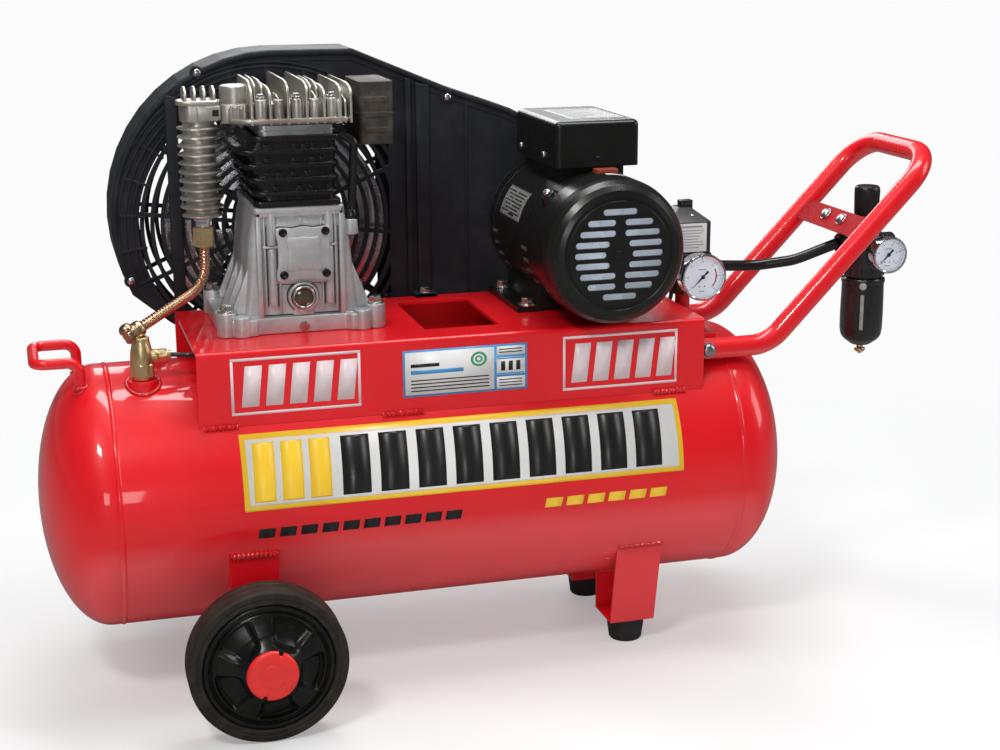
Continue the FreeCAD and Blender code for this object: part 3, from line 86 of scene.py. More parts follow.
# ---------------------------------------------------------------- node trees
class Nodes:
    """Shorthands for building one node tree. An input is given a value or a socket."""

    def __init__(self, tree):
        self.tree = tree
        self.coords = self.node("ShaderNodeTexCoord")

    def feed(self, node, inputs):
        for key, value in inputs.items():
            socket = node.inputs[key]
            if isinstance(value, bpy.types.NodeSocket):
                self.tree.links.new(value, socket)
            elif socket.type == "RGBA" and len(value) == 3:
                socket.default_value = (*value, 1.0)
            else:
                socket.default_value = value

    def node(self, kind, inputs=None, **props):
        made = self.tree.nodes.new(kind)
        for key, value in props.items():
            setattr(made, key, value)
        self.feed(made, inputs or {})
        return made

    def noise(self, scale, detail=4.0, rough=0.55, stretch=None):
        made = self.node("ShaderNodeTexNoise",
                         {"Scale": scale, "Detail": detail, "Roughness": rough})
        point = self.coords.outputs["Object"]
        if stretch:
            mapping = self.node("ShaderNodeMapping", {"Scale": stretch, "Vector": point})
            point = mapping.outputs["Vector"]
        self.feed(made, {"Vector": point})
        return made.outputs["Fac"]

    def ramp(self, factor, stops):
        """Colour ramp; stops are (position, colour) in rising order."""
        made = self.node("ShaderNodeValToRGB", {"Fac": factor})
        elements = made.color_ramp.elements
        for i in (0, -1):
            elements[i].position = stops[i][0]
            elements[i].color = (*stops[i][1], 1.0)
        for position, color in stops[1:-1]:
            elements.new(position).color = (*color, 1.0)
        return made.outputs["Color"]

    def remap(self, value, low, high, start=0.3, end=0.7):
        """Maps start..end to low..high."""
        made = self.node("ShaderNodeMapRange", {"From Min": start, "From Max": end,
                                                "To Min": low, "To Max": high, "Value": value})
        return made.outputs["Result"]

    def mix(self, factor, first, second, mode="MIX"):
        # sockets 0, 6 and 7 are the factor and the two colours
        return self.node("ShaderNodeMix", {0: factor, 6: first, 7: second},
                         data_type="RGBA", blend_type=mode).outputs[2]

    def multiply(self, first, second):
        return self.node("ShaderNodeMath", {0: first, 1: second},
                         operation="MULTIPLY").outputs[0]

    def bump(self, height, strength, distance, normal=None):
        inputs = {"Strength": strength, "Distance": distance, "Height": height}
        if normal:
            inputs["Normal"] = normal
        return self.node("ShaderNodeBump", inputs).outputs["Normal"]


class MaterialNodes(Nodes):
    """A new material's tree round its Principled node."""

    def __init__(self, name):
        self.material = bpy.data.materials.new(name)
        self.material.use_nodes = True
        super().__init__(self.material.node_tree)
        self.bsdf = self.tree.nodes["Principled BSDF"]


# ---------------------------------------------------------------- materials
def surface(name, light, dark, rough, metal=0.0, coat=0.0, coat_rough=0.1, tone=12.0, fine=900.0,
            bump=0.08, depth=0.0002, soft=0.0008, wear=None, wear_amount=0.5, stretch=None,
            dust=None, spec=None, broad=None):
    """Mottled colour and roughness with a fine bump.

    tone and fine are the noise scales of the mottling and of the bump; bump and depth are
    the bump's strength and distance (m). soft is the radius (m) of the rounded edges, wear
    the colour of rubbed edges, dust a (colour, amount) and broad a second bump given as
    (scale, strength, distance).
    """
    nodes = MaterialNodes(name)
    color = nodes.ramp(nodes.noise(tone, 5.0, 0.6, stretch), [(0.32, dark), (0.68, light)])
    fine_noise = nodes.noise(fine, 3.0, 0.6, stretch)
    if dust:
        patches = nodes.noise(tone * 3.1, 8.0, 0.7)
        color = nodes.mix(nodes.remap(patches, 0.0, dust[1], 0.45, 0.75), color, dust[0])
    rounded = None
    if soft:
        rounded = nodes.node("ShaderNodeBevel", {"Radius": soft}, samples=4).outputs["Normal"]
    if wear:
        flat = nodes.node("ShaderNodeNewGeometry").outputs["Normal"]
        facing = nodes.node("ShaderNodeVectorMath", {0: rounded, 1: flat},
                            operation="DOT_PRODUCT")
        edge = nodes.remap(facing.outputs["Value"], 1.0, 0.0, 0.72, 0.97)
        patch = nodes.remap(nodes.noise(tone * 14.0, 5.0, 0.7), 0.0, 1.0, 0.45, 0.62)
        worn = nodes.multiply(nodes.multiply(edge, patch), wear_amount)
        color = nodes.mix(worn, color, wear)
    gloss = nodes.remap(nodes.noise(tone * 2.3, 6.0, 0.65, stretch), *rough)
    normal = nodes.bump(fine_noise, bump, depth, rounded)
    if broad:
        scale, strength, distance = broad
        normal = nodes.bump(nodes.noise(scale, 3.0, 0.5), strength, distance, normal)
    nodes.feed(nodes.bsdf, {"Base Color": color, "Roughness": gloss, "Normal": normal,
                            "Metallic": metal, "Coat Weight": coat,
                            "Coat Roughness": coat_rough})
    if spec is not None:
        nodes.feed(nodes.bsdf, {"Specular IOR Level": spec})
    return nodes.material


def paint_floor_reflection(material, tint, amount):
    """Painted reflection: where the coat would mirror the floor the base colour is painted paler.
    """
    nodes = Nodes(material.node_tree)
    color = nodes.tree.nodes["Principled BSDF"].inputs["Base Color"]
    reflection = nodes.coords.outputs["Reflection"]
    height = nodes.node("ShaderNodeSeparateXYZ", {0: reflection}).outputs["Z"]
    factor = nodes.remap(height, 0.0, amount, start=-0.50, end=-0.78)
    mixed = nodes.mix(factor, color.links[0].from_socket, tint)
    nodes.tree.links.new(mixed, color)


# Painted light: emission makes a part glow, though it is no lamp.
def painted_glow(material, color, strength):
    inputs = material.node_tree.nodes["Principled BSDF"].inputs
    inputs["Emission Color"].default_value = (*color, 1)
    inputs["Emission Strength"].default_value = strength


def glass_material():
    nodes = MaterialNodes("clear_glass")
    nodes.feed(nodes.bsdf, {"Base Color": (0.95, 0.97, 0.98), "Roughness": 0.03,
                            "Transmission Weight": 1.0, "IOR": 1.15, "Alpha": 0.25})
    nodes.feed(nodes.bsdf, {"Roughness": nodes.remap(nodes.noise(40.0), 0.02, 0.08)})
    return nodes.material


# paints
RED = surface("red_paint", (0.74, 0.004, 0.011), (0.62, 0.002, 0.007), rough=(0.34, 0.46),
              spec=0.3, coat=0.62, coat_rough=0.045, tone=4.0, fine=420.0, bump=0.10,
              wear=(0.72, 0.05, 0.05), wear_amount=0.2, broad=(55.0, 0.09, 0.0012))
# painted reflection: the red turns paler where its coat would mirror the floor
paint_floor_reflection(RED, tint=(0.95, 0.34, 0.36), amount=0.15)
# painted shade: the same red paint made darker, for the handle's cross plate
RED_PAINTED_SHADE = surface("red_paint_painted_shade", (0.36, 0.006, 0.010), (0.27, 0.004, 0.008),
                   rough=(0.62, 0.75), spec=0.15, tone=6.0, fine=420.0)
WELD = surface("painted_weld", (0.64, 0.012, 0.018), (0.52, 0.008, 0.012), rough=(0.22, 0.34),
               coat=0.7, tone=30.0, fine=500.0, bump=0.3, depth=0.0006, soft=0.0)
BLACK = surface("black_gloss_paint", (0.0085, 0.0082, 0.0075), (0.0055, 0.0055, 0.005),
                rough=(0.24, 0.36), spec=0.4, coat=0.08, tone=7.0, fine=500.0, bump=0.10,
                depth=0.00025, wear=(0.08, 0.08, 0.075), wear_amount=0.35,
                broad=(90.0, 0.10, 0.0010), soft=0.0012)
BLACK_IRON = surface("black_enamel_casting", (0.006, 0.0058, 0.0055), (0.004, 0.004, 0.004),
                     rough=(0.20, 0.34), spec=0.35, coat=0.18, coat_rough=0.12, tone=40.0,
                     fine=700.0, bump=0.30, depth=0.0005, wear=(0.10, 0.09, 0.08),
                     wear_amount=0.22, soft=0.0016, broad=(180.0, 0.04, 0.0006))

# metals
ALU = surface("cast_aluminium", (0.62, 0.63, 0.64), (0.47, 0.48, 0.49), rough=(0.34, 0.50),
              metal=0.62, tone=18.0, fine=1500.0, bump=0.38, depth=0.0003,
              wear=(0.86, 0.85, 0.83), wear_amount=0.9, soft=0.0011,
              dust=((0.16, 0.15, 0.14), 0.3))
ALU_FIN = surface("finned_aluminium", (0.62, 0.595, 0.55), (0.36, 0.33, 0.285),
                  rough=(0.28, 0.44), metal=0.80, tone=26.0, fine=1200.0, bump=0.25,
                  depth=0.0003, wear=(0.95, 0.90, 0.78), wear_amount=1.0, soft=0.0007,
                  dust=((0.20, 0.16, 0.11), 0.35))
ALU_TURNED = surface("turned_aluminium", (0.74, 0.75, 0.77), (0.60, 0.61, 0.63),
                     rough=(0.16, 0.30), metal=1.0, tone=14.0, fine=700.0, bump=0.12,
                     stretch=(1, 1, 6), soft=0.0006)
STEEL = surface("machined_steel", (0.56, 0.57, 0.58), (0.44, 0.45, 0.46), rough=(0.22, 0.38),
                metal=1.0, tone=20.0, bump=0.12, soft=0.0005)
ZINC = surface("zinc_plate", (0.70, 0.69, 0.62), (0.52, 0.52, 0.50), rough=(0.18, 0.34),
               metal=1.0, tone=60.0, bump=0.12, soft=0.0006, wear=(0.85, 0.84, 0.8))
CHROME = surface("chrome", (0.86, 0.86, 0.88), (0.78, 0.78, 0.80), rough=(0.06, 0.13),
                 metal=1.0, tone=9.0, fine=300.0, bump=0.03, soft=0.0006)
BRASS = surface("brass", (0.80, 0.62, 0.33), (0.58, 0.43, 0.21), rough=(0.26, 0.40),
                metal=0.88, tone=50.0, bump=0.14, soft=0.0007, wear=(0.95, 0.86, 0.60),
                wear_amount=0.7)
COPPER = surface("copper_flex", (0.74, 0.46, 0.32), (0.60, 0.36, 0.22), rough=(0.18, 0.30),
                 metal=1.0, tone=9.0, fine=700.0, bump=0.04, soft=0.0)

# plastics and rubbers
GUARD = surface("guard_plastic", (0.018, 0.0205, 0.026), (0.0115, 0.013, 0.017),
                rough=(0.42, 0.56), tone=9.0, fine=1300.0, spec=0.17, bump=0.32,
                depth=0.00035, wear=(0.09, 0.095, 0.105), soft=0.0010,
                dust=((0.060, 0.062, 0.066), 0.25))
PLASTIC = surface("black_plastic", (0.011, 0.011, 0.011), (0.007, 0.007, 0.007),
                  rough=(0.26, 0.40), tone=20.0, fine=1000.0, bump=0.16, soft=0.0010,
                  wear=(0.08, 0.08, 0.08), wear_amount=0.4)
HUB = surface("hub_plastic", (0.0055, 0.0057, 0.005), (0.004, 0.0042, 0.0038),
              rough=(0.20, 0.32), spec=0.3, coat_rough=0.2, tone=16.0, fine=700.0, bump=0.12,
              soft=0.0014, wear=(0.05, 0.05, 0.047), wear_amount=0.4,
              dust=((0.045, 0.04, 0.032), 0.2))
TYRE = surface("tyre_rubber", (0.021, 0.0160, 0.0125), (0.013, 0.0102, 0.0082),
               rough=(0.50, 0.66), tone=20.0, spec=0.25, bump=0.40, depth=0.0004,
               soft=0.0012, wear=(0.07, 0.062, 0.05), wear_amount=0.45,
               dust=((0.070, 0.052, 0.036), 0.45))
RUBBER = surface("black_rubber", (0.020, 0.020, 0.020), (0.012, 0.012, 0.012),
                 rough=(0.50, 0.66), tone=18.0, bump=0.35)
HOSE = surface("hose_rubber", (0.009, 0.009, 0.009), (0.006, 0.006, 0.006),
               rough=(0.18, 0.28), tone=40.0, fine=1400.0, bump=0.18, soft=0.0)
BELT = surface("belt_rubber", (0.022, 0.022, 0.023), (0.014, 0.014, 0.015),
               rough=(0.55, 0.72), tone=60.0, fine=1600.0, bump=0.4, soft=0.0004)
RED_CAP = surface("red_moulding", (0.78, 0.020, 0.016), (0.66, 0.014, 0.012),
                  rough=(0.32, 0.44), tone=25.0, fine=700.0, bump=0.14,
                  wear=(0.9, 0.12, 0.08), wear_amount=0.4)
ORANGE = surface("red_button", (0.36, 0.060, 0.030), (0.28, 0.045, 0.022),
                 rough=(0.34, 0.48), tone=60.0, fine=700.0, bump=0.14, soft=0.0012)
COIL = surface("varnished_windings", (0.45, 0.17, 0.06), (0.28, 0.10, 0.035),
               rough=(0.30, 0.5), metal=0.4, tone=60.0, fine=1400.0, bump=0.5, soft=0.0,
               stretch=(1, 8, 1))

# labels and dials: smooth, square-edged
LABEL = dict(tone=14.0, fine=400.0, bump=0.05, soft=0.0)
PRINT = dict(tone=30.0, fine=500.0, bump=0.04, soft=0.0)
LABEL_WHITE = surface("label_white", (0.70, 0.695, 0.68), (0.63, 0.625, 0.615),
                      rough=(0.30, 0.42), **LABEL)
LABEL_YELLOW = surface("label_yellow", (0.86, 0.56, 0.03), (0.80, 0.48, 0.02),
                       rough=(0.28, 0.40), **LABEL)
LABEL_BLACK = surface("label_black", (0.012, 0.012, 0.012), (0.008, 0.008, 0.008),
                      rough=(0.26, 0.38), **LABEL)
LABEL_BLUE = surface("label_blue", (0.05, 0.30, 0.62), (0.04, 0.24, 0.52),
                     rough=(0.28, 0.4), **LABEL)
LABEL_GREEN = surface("label_green", (0.05, 0.36, 0.18), (0.04, 0.28, 0.14),
                      rough=(0.28, 0.4), **LABEL)
LABEL_GREY = surface("label_grey", (0.30, 0.31, 0.29), (0.25, 0.26, 0.24),
                     rough=(0.32, 0.48), tone=60.0, bump=0.1, soft=0.0)
LABEL_PINK = surface("label_pale_red", (0.72, 0.60, 0.62), (0.66, 0.54, 0.56),
                     rough=(0.30, 0.42), **LABEL)
PLATE = surface("nameplate", (0.62, 0.62, 0.60), (0.44, 0.44, 0.43), rough=(0.26, 0.4),
                metal=0.7, tone=70.0, fine=1200.0, bump=0.12, soft=0.0003)
DIAL = surface("dial_white", (0.74, 0.78, 0.84), (0.68, 0.72, 0.79), rough=(0.45, 0.55),
               **PRINT)
INK = surface("dial_ink", (0.02, 0.02, 0.025), (0.015, 0.015, 0.02), rough=(0.5, 0.6), **PRINT)
INK_RED = surface("dial_ink_red", (0.45, 0.03, 0.03), (0.38, 0.02, 0.02), rough=(0.5, 0.6),
                  **PRINT)
OIL = surface("sight_glass_oil", (0.075, 0.060, 0.030), (0.035, 0.028, 0.016),
              rough=(0.06, 0.12), coat=1.0, coat_rough=0.03, tone=60.0, fine=300.0, bump=0.04,
              soft=0.0006)
GLASS = glass_material()
# painted light: the dial glows faintly, as if lit
painted_glow(DIAL, color=(0.72, 0.79, 0.88), strength=0.30)
FAN = surface("fan_plastic", (0.66, 0.70, 0.76), (0.56, 0.60, 0.67), rough=(0.28, 0.42),
              tone=22.0, fine=700.0, bump=0.12, soft=0.0006)
# painted light: the fan glows, so the grille's slots look pale and lit
painted_glow(FAN, color=(0.70, 0.77, 0.86), strength=0.24)

# material of each CAD piece
CAD_LOOKS = (
    (RED, "tank platform tank_legs carry_handle push_handle"),
    (RUBBER, "rubber_feet"),
    (ZINC, "stub_axles fasteners safety_ring"),
    (ALU, "crankcase bearing_cover connecting_rod_1 connecting_rod_2"),
    (OIL, "sight_glass"),
    (BLACK_IRON, "cylinder_block"),
    (STEEL, "valve_plate crankshaft motor_rotor"),
    (ALU_FIN, "cylinder_head aftercooler"),
    (PLASTIC, "air_filter breather_tube unloader_tube pressure_switch regulator_body "
              "filter_bowl switch_knob regulator_knob"),
    (BRASS, "tube_nuts check_valve manifold safety_valve bowl_drain drain_tap"),
    (COPPER, "discharge_tube"),
    (GUARD, "belt_guard_front belt_guard_back"),
    (CHROME, "ball_bearings tank_gauge regulator_gauge"),
    (BLACK, "motor_frame fan_cover capacitor_box"),
    (COIL, "motor_stator"),
    (BELT, "drive_belt"),
    (HOSE, "air_hose"),
    (TYRE, "front_tyre rear_tyre"),
    (HUB, "front_hub rear_hub"),
    (RED_CAP, "front_hub_cap rear_hub_cap"),
    (ALU_TURNED, "flywheel piston_1 piston_2 motor_pulley"),
    (FAN, "motor_fan"),
    (INK, "tank_gauge_needle regulator_gauge_needle"),
    (ORANGE, "overload_button"),
)


def paint_cad():
    looks = {name: material for material, names in CAD_LOOKS for name in names.split()}
    for name, piece in NODES.items():
        piece.data.materials.clear()
        piece.data.materials.append(looks[name])
        for poly in piece.data.polygons:
            poly.material_index = 0


def shade_handle_plate():
    """Painted shade: the flat cross plate of the push handle gets a darker red than the tubes,
    rougher and with no coat.
    """
    plate_normal = Vector((-0.713, 0, 0.701))
    handle = NODES["push_handle"].data
    handle.materials.append(RED_PAINTED_SHADE)
    for poly in handle.polygons:
        x = poly.center.x * 1000 - ORIGIN_X
        z = poly.center.z * 1000 - ORIGIN_Z
        inside = abs(poly.center.y) < 0.0785 and 515 < x < 556 and 250 < z < 295
        if inside and abs(poly.normal.dot(plate_normal)) > 0.97:
            poly.material_index = 1


paint_cad()
shade_handle_plate()


# ---------------------------------------------------------------- mesh helpers, mm
def add(name, mesh, material, replaces=None, body="root", angle=38.0, smooth=True):
    """Moves a bmesh from design millimetres into the row frame and makes it a piece."""
    mesh.transform(Matrix.Translation(Vector((ORIGIN_X, 0, ORIGIN_Z))))
    mesh.transform(Matrix.Scale(0.001, 4))
    bmesh.ops.recalc_face_normals(mesh, faces=mesh.faces)
    data = bpy.data.meshes.new(name)
    mesh.to_mesh(data)
    mesh.free()
    if smooth:
        data.shade_smooth()
        data.set_sharp_from_angle(angle=math.radians(angle))
    data.materials.append(material)
    piece = bpy.data.objects.new(name, data)
    bpy.context.scene.collection.objects.link(piece)
    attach(piece, body)
    if replaces:
        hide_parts(replaces)
    return piece


def merge(target, source):
    """Appends bmesh source to target and frees source."""
    data = bpy.data.meshes.new("tmp")
    source.to_mesh(data)
    source.free()
    target.from_mesh(data)
    bpy.data.meshes.remove(data)
    return target


def bridge(mesh, rows, closed=True):
    """Faces between successive rows; closed joins each row's end to its start."""
    count = len(rows[0])
    for a, b in zip(rows, rows[1:]):
        for i in range(count if closed else count - 1):
            k = (i + 1) % count
            corners = list(dict.fromkeys((a[i], a[k], b[k], b[i])))
            if len(corners) > 2:
                mesh.faces.new(corners)


def strip(mesh, rows):
    """Faces between successive open rows, wound the other way from bridge."""
    for a, b in zip(rows, rows[1:]):
        for i in range(len(a) - 1):
            mesh.faces.new((a[i], b[i], b[i + 1], a[i + 1]))


def loft(mesh, sections):
    """Capped body through sections of (outline in x and y, z)."""
    rows = [[mesh.verts.new((x, y, z)) for x, y in outline] for outline, z in sections]
    bridge(mesh, rows)
    mesh.faces.new(rows[0][::-1])
    mesh.faces.new(rows[-1])


AXES = {"x": (Vector((1, 0, 0)), Vector((0, 1, 0)), Vector((0, 0, 1))),
        "y": (Vector((0, 1, 0)), Vector((0, 0, 1)), Vector((1, 0, 0))),
        "z": (Vector((0, 0, 1)), Vector((1, 0, 0)), Vector((0, 1, 0)))}


def frame_for(axis):
    """(along, side, side) unit vectors; axis is a letter, -letter or a vector."""
    if isinstance(axis, str):
        along, side, other = AXES[axis[-1]]
        return (-along if axis[0] == "-" else along), side, other
    along = Vector(axis).normalized()
    side = along.orthogonal().normalized()
    return along, side, along.cross(side)


def ring(mesh, at, axis, radius, height, count, phase=0.0):
    """Vertices round an axis; radius and height are numbers or functions of the angle.

    A zero radius gives one vertex, repeated.
    """
    along, side, other = frame_for(axis)
    at = Vector(at)
    if not radius:
        return [mesh.verts.new(at + along * height)] * count
    verts = []
    for i in range(count):
        angle = math.tau * i / count + phase
        reach = radius(angle) if callable(radius) else radius
        level = height(angle) if callable(height) else height
        outward = side * math.cos(angle) + other * math.sin(angle)
        verts.append(mesh.verts.new(at + along * level + outward * reach))
    return verts


def lathe(profile, at, axis, seg, mesh=None, closed=True):
    """Turns a profile of (radius, height) about an axis through at."""
    mesh = mesh or bmesh.new()
    rows = [ring(mesh, at, axis, radius, height, seg) for radius, height in profile]
    bridge(mesh, rows + rows[:1] if closed else rows)
    return mesh


def turn(profile, fillet, steps, at, axis, seg, mesh=None):
    """Lathe of a closed profile whose corners are rounded by fillet."""
    return lathe(soften(profile, fillet, steps), at, axis, seg, mesh)


def drum(low, high, radius, top=None, bore=0):
    """Profile of a straight or tapering cylinder, solid unless it has a bore."""
    return [(bore, low), (radius, low), (top or radius, high), (bore, high)]


def corner_arc(before, corner, after, fillet, share, steps):
    """Curve that cuts one corner, taking at most a share of each side."""
    back, ahead = Vector(before) - corner, Vector(after) - corner
    reach = min(fillet, back.length * share, ahead.length * share)
    if reach < 0.05:
        return [(corner.x, corner.y)]
    start, end = corner + back.normalized() * reach, corner + ahead.normalized() * reach
    out = []
    for k in range(steps + 1):
        u = k / steps
        point = start * (1 - u) ** 2 + corner * 2 * u * (1 - u) + end * u ** 2
        out.append((point.x, point.y))
    return out


def soften(profile, fillet, steps):
    """Rounds a closed profile's corners, except those on the axis."""
    out = []
    for i, corner in enumerate(profile):
        if corner[0] == 0:
            out.append(corner)
        else:
            out += corner_arc(profile[i - 1], Vector(corner), profile[(i + 1) % len(profile)],
                              fillet, 0.45, steps)
    return out


def round_poly(points, fillet, steps=5):
    """Rounds the corners of a 2-D polygon; fillet is a number or one per corner."""
    out = []
    for i, corner in enumerate(points):
        size = fillet[i] if isinstance(fillet, list) else fillet
        out += corner_arc(points[i - 1], Vector(corner), points[(i + 1) % len(points)],
                          size, 0.48, steps)
    return out


def rect(x0, x1, y0, y1, lean=0.0):
    return [(x0, y0), (x1, y0), (x1 + lean, y1), (x0 + lean, y1)]


def circle(x, y, radius, count, extra=0):
    """Points round a circle; extra=1 repeats the first at the end."""
    angles = [math.tau * k / count for k in range(count + extra)]
    return [(x + radius * math.cos(a), y + radius * math.sin(a)) for a in angles]


def polar(x, y, radius, degrees):
    angle = math.radians(degrees)
    return x + radius * math.cos(angle), y + radius * math.sin(angle)


def turned(points, x, y, degrees):
    """2-D points rotated about the origin, then moved to (x, y)."""
    cos, sin = math.cos(math.radians(degrees)), math.sin(math.radians(degrees))
    return [(x + p * cos - q * sin, y + p * sin + q * cos) for p, q in points]


def slab(outline, low, high, axis="y", bevel=0.0, segments=2, mesh=None):
    """An outline across the axis (x,z for y; x,y for z; y,z for x) stood from low to high."""
    place = {"x": lambda u, v, h: (h, u, v),
             "y": lambda u, v, h: (u, h, v),
             "z": lambda u, v, h: (u, v, h)}[axis]
    body = bmesh.new()
    bottom, top = [[body.verts.new(place(u, v, h)) for u, v in outline] for h in (low, high)]
    body.faces.new(bottom[::-1])
    body.faces.new(top)
    bridge(body, [bottom, top])
    bmesh.ops.recalc_face_normals(body, faces=body.faces)
    if bevel > 0:
        edges = [e for e in body.edges
                 if e.is_manifold and e.calc_face_angle(0.0) > math.radians(20)]
        bmesh.ops.bevel(body, geom=edges, offset=bevel, segments=segments, profile=0.5,
                        affect="EDGES", clamp_overlap=True)
    return body if mesh is None else merge(mesh, body)


def smooth_path(points, radius, steps=8):
    """Polyline with its corners turned into arcs; radius is a number or one per corner."""
    points = [Vector(p) for p in points]
    out = [points[0]]
    for i in range(1, len(points) - 1):
        before, corner, after = points[i - 1:i + 2]
        back, ahead = (before - corner).normalized(), (after - corner).normalized()
        half = back.angle(ahead) / 2
        size = radius[i - 1] if isinstance(radius, list) else radius
        reach = min(size / math.tan(half), (before - corner).length * 0.49,
                    (after - corner).length * 0.49)
        start, end = corner + back * reach, corner + ahead * reach
        depth = reach * math.tan(half) / math.sin(half)
        centre = corner + (back + ahead).normalized() * depth
        arm, last_arm = start - centre, end - centre
        sweep_angle = arm.angle(last_arm)
        axis = arm.cross(last_arm).normalized()
        for k in range(steps + 1):
            out.append(centre + Matrix.Rotation(sweep_angle * k / steps, 3, axis) @ arm)
    out.append(points[-1])
    return out


def resample(path, step):
    """Points a step apart along a path."""
    out = [path[0].copy()]
    left = step
    for a, b in zip(path, path[1:]):
        length = (b - a).length
        done = 0.0
        while length - done >= left:
            done += left
            out.append(a.lerp(b, done / length))
            left = step
        left -= length - done
    if (out[-1] - path[-1]).length > step * 0.3:
        out.append(path[-1].copy())
    return out


def sweep(path, radius, seg, mesh=None, caps=True):
    """Round bar along a path; radius is a number or a function of the distance along it."""
    mesh = mesh or bmesh.new()
    distance = 0.0
    tangent = (path[1] - path[0]).normalized()
    side = tangent.orthogonal().normalized()
    rows = []
    for i, point in enumerate(path):
        if i:
            distance += (point - path[i - 1]).length
        ahead = (path[min(i + 1, len(path) - 1)] - path[max(i - 1, 0)]).normalized()
        side = (tangent.rotation_difference(ahead) @ side).normalized()
        side = (side - ahead * side.dot(ahead)).normalized()
        tangent = ahead
        other = tangent.cross(side)
        reach = radius(distance) if callable(radius) else radius
        angles = [math.tau * k / seg for k in range(seg)]
        rows.append([mesh.verts.new(point + (side * math.cos(a) + other * math.sin(a)) * reach)
                     for a in angles])
    bridge(mesh, rows)
    if caps:
        mesh.faces.new(rows[0][::-1])
        mesh.faces.new(rows[-1])
    return mesh


def hexbolt(at, axis, flats, high, mesh, washer=True, nut=False):
    """Chamfered hexagon, on a washer face or bare; a nut also shows the bolt's end."""
    radius = flats / math.sqrt(3)
    base = 0.0
    if washer:
        base = 1.4
        turn(drum(0, base, flats * 0.78), 0.3, 2, at, axis, 28, mesh)
    profile = ((radius, base), (radius, high - 1.0), (radius * 0.90, high),
               (radius * 0.55, high + 0.15))
    rows = [ring(mesh, at, axis, r, h, 6, phase=0.3) for r, h in profile]
    bridge(mesh, rows)
    mesh.faces.new(rows[-1])
    mesh.faces.new(rows[0][::-1])
    if nut:
        lathe([(0, base), (flats * 0.30, base), (flats * 0.30, high + 2.2),
               (flats * 0.24, high + 3.0), (0, high + 3.0)], at, axis, 20, mesh)


def panhead(at, axis, radius, high, mesh=None):
    """Domed screw head."""
    profile = [(0, 0), (radius, 0), (radius, high * 0.35)]
    for k in range(1, 6):
        angle = math.pi / 2 * k / 6
        profile.append((radius * math.cos(angle) * 0.98,
                        high * (0.35 + 0.65 * math.sin(angle))))
    profile.append((0, high))
    return lathe(profile, at, axis, 24, mesh)


def bead(path, radius, mesh, draws, seg=8, ripple=0.18, pitch=3.0):
    """Rippled weld bead; draws supplies the ripple's random phase."""
    phase = draws.random() * 6

    def rippled(d):
        wave = math.sin(d * math.tau / pitch + phase)
        return radius * (1 + ripple * wave + 0.06 * math.sin(d * 0.7))
    sweep(resample([Vector(p) for p in path], pitch * 0.33), rippled, seg, mesh)


# ---------------------------------------------------------------- stage, light, camera
def build_floor(half=14.0):
    mesh = bmesh.new()
    mesh.faces.new([mesh.verts.new((x, y, 0.0)) for x, y in rect(-half, half, -half, half)])
    data = bpy.data.meshes.new("floor")
    mesh.to_mesh(data)
    mesh.free()
    data.materials.append(floor_material())
    floor = bpy.data.objects.new("floor", data)
    bpy.context.scene.collection.objects.link(floor)


def floor_material():
    nodes = MaterialNodes("studio_floor")
    color = nodes.ramp(nodes.noise(1.5, 3.0), [(0.3, (0.74, 0.75, 0.75)),
                                               (0.7, (0.77, 0.78, 0.78))])
    gloss = nodes.remap(nodes.noise(6.0, 3.0), 0.62, 0.78)
    nodes.feed(nodes.bsdf, {"Base Color": color, "Roughness": gloss})
    # away from the machine the camera sees the floor melt into the backdrop
    distance = nodes.node("ShaderNodeVectorMath", {0: nodes.coords.outputs["Object"]},
                          operation="LENGTH").outputs["Value"]
    far = nodes.remap(distance, 0.30, 1.0, start=0.40, end=1.5)
    backdrop = nodes.node("ShaderNodeEmission", {"Color": (0.97, 0.97, 0.972), "Strength": 1.0})
    rays = nodes.node("ShaderNodeLightPath").outputs
    seen = nodes.node("ShaderNodeMixShader", {
        0: nodes.multiply(far, rays["Is Camera Ray"]),
        1: nodes.bsdf.outputs[0], 2: backdrop.outputs[0]})
    # mirrored in the machine the floor is darker
    dark = nodes.node("ShaderNodeBsdfDiffuse", {"Color": (0.22, 0.22, 0.22)})
    shader = nodes.node("ShaderNodeMixShader", {
        0: rays["Is Glossy Ray"], 1: seen.outputs[0], 2: dark.outputs[0]})
    nodes.feed(nodes.tree.nodes["Material Output"], {"Surface": shader.outputs[0]})
    return nodes.material


def build_world():
    """Room graded by height; plain white to the camera and dimmer in reflections."""
    world = bpy.data.worlds.new("studio")
    bpy.context.scene.world = world
    world.use_nodes = True
    nodes = Nodes(world.node_tree)
    direction = nodes.node("ShaderNodeSeparateXYZ",
                           {"Vector": nodes.coords.outputs["Generated"]})
    height = nodes.remap(direction.outputs["Z"], 0.0, 1.0, start=-1.0, end=1.0)
    room = nodes.ramp(height, [(0.0, (0.90, 0.90, 0.90)), (0.50, (0.85, 0.85, 0.86)),
                               (0.56, (0.34, 0.345, 0.36)), (0.74, (0.30, 0.31, 0.33)),
                               (1.0, (1.0, 1.0, 1.0))])
    rays = nodes.node("ShaderNodeLightPath").outputs
    seen = nodes.mix(rays["Is Camera Ray"], room, (1.617, 1.617, 1.62))
    dimmed = nodes.mix(1.0, room, (0.36, 0.36, 0.37), "MULTIPLY")
    nodes.feed(nodes.tree.nodes["Background"], {
        "Color": nodes.mix(rays["Is Glossy Ray"], seen, dimmed), "Strength": 0.60})


def area_light(name, location, target, size, power, color=(1, 1, 1)):
    light = bpy.data.lights.new(name, "AREA")
    light.shape = "RECTANGLE"
    light.size, light.size_y = size
    light.energy = power
    light.color = color
    lamp = bpy.data.objects.new(name, light)
    bpy.context.scene.collection.objects.link(lamp)
    lamp.location = location
    aim = Vector(target) - Vector(location)
    lamp.rotation_euler = aim.to_track_quat("-Z", "Y").to_euler()


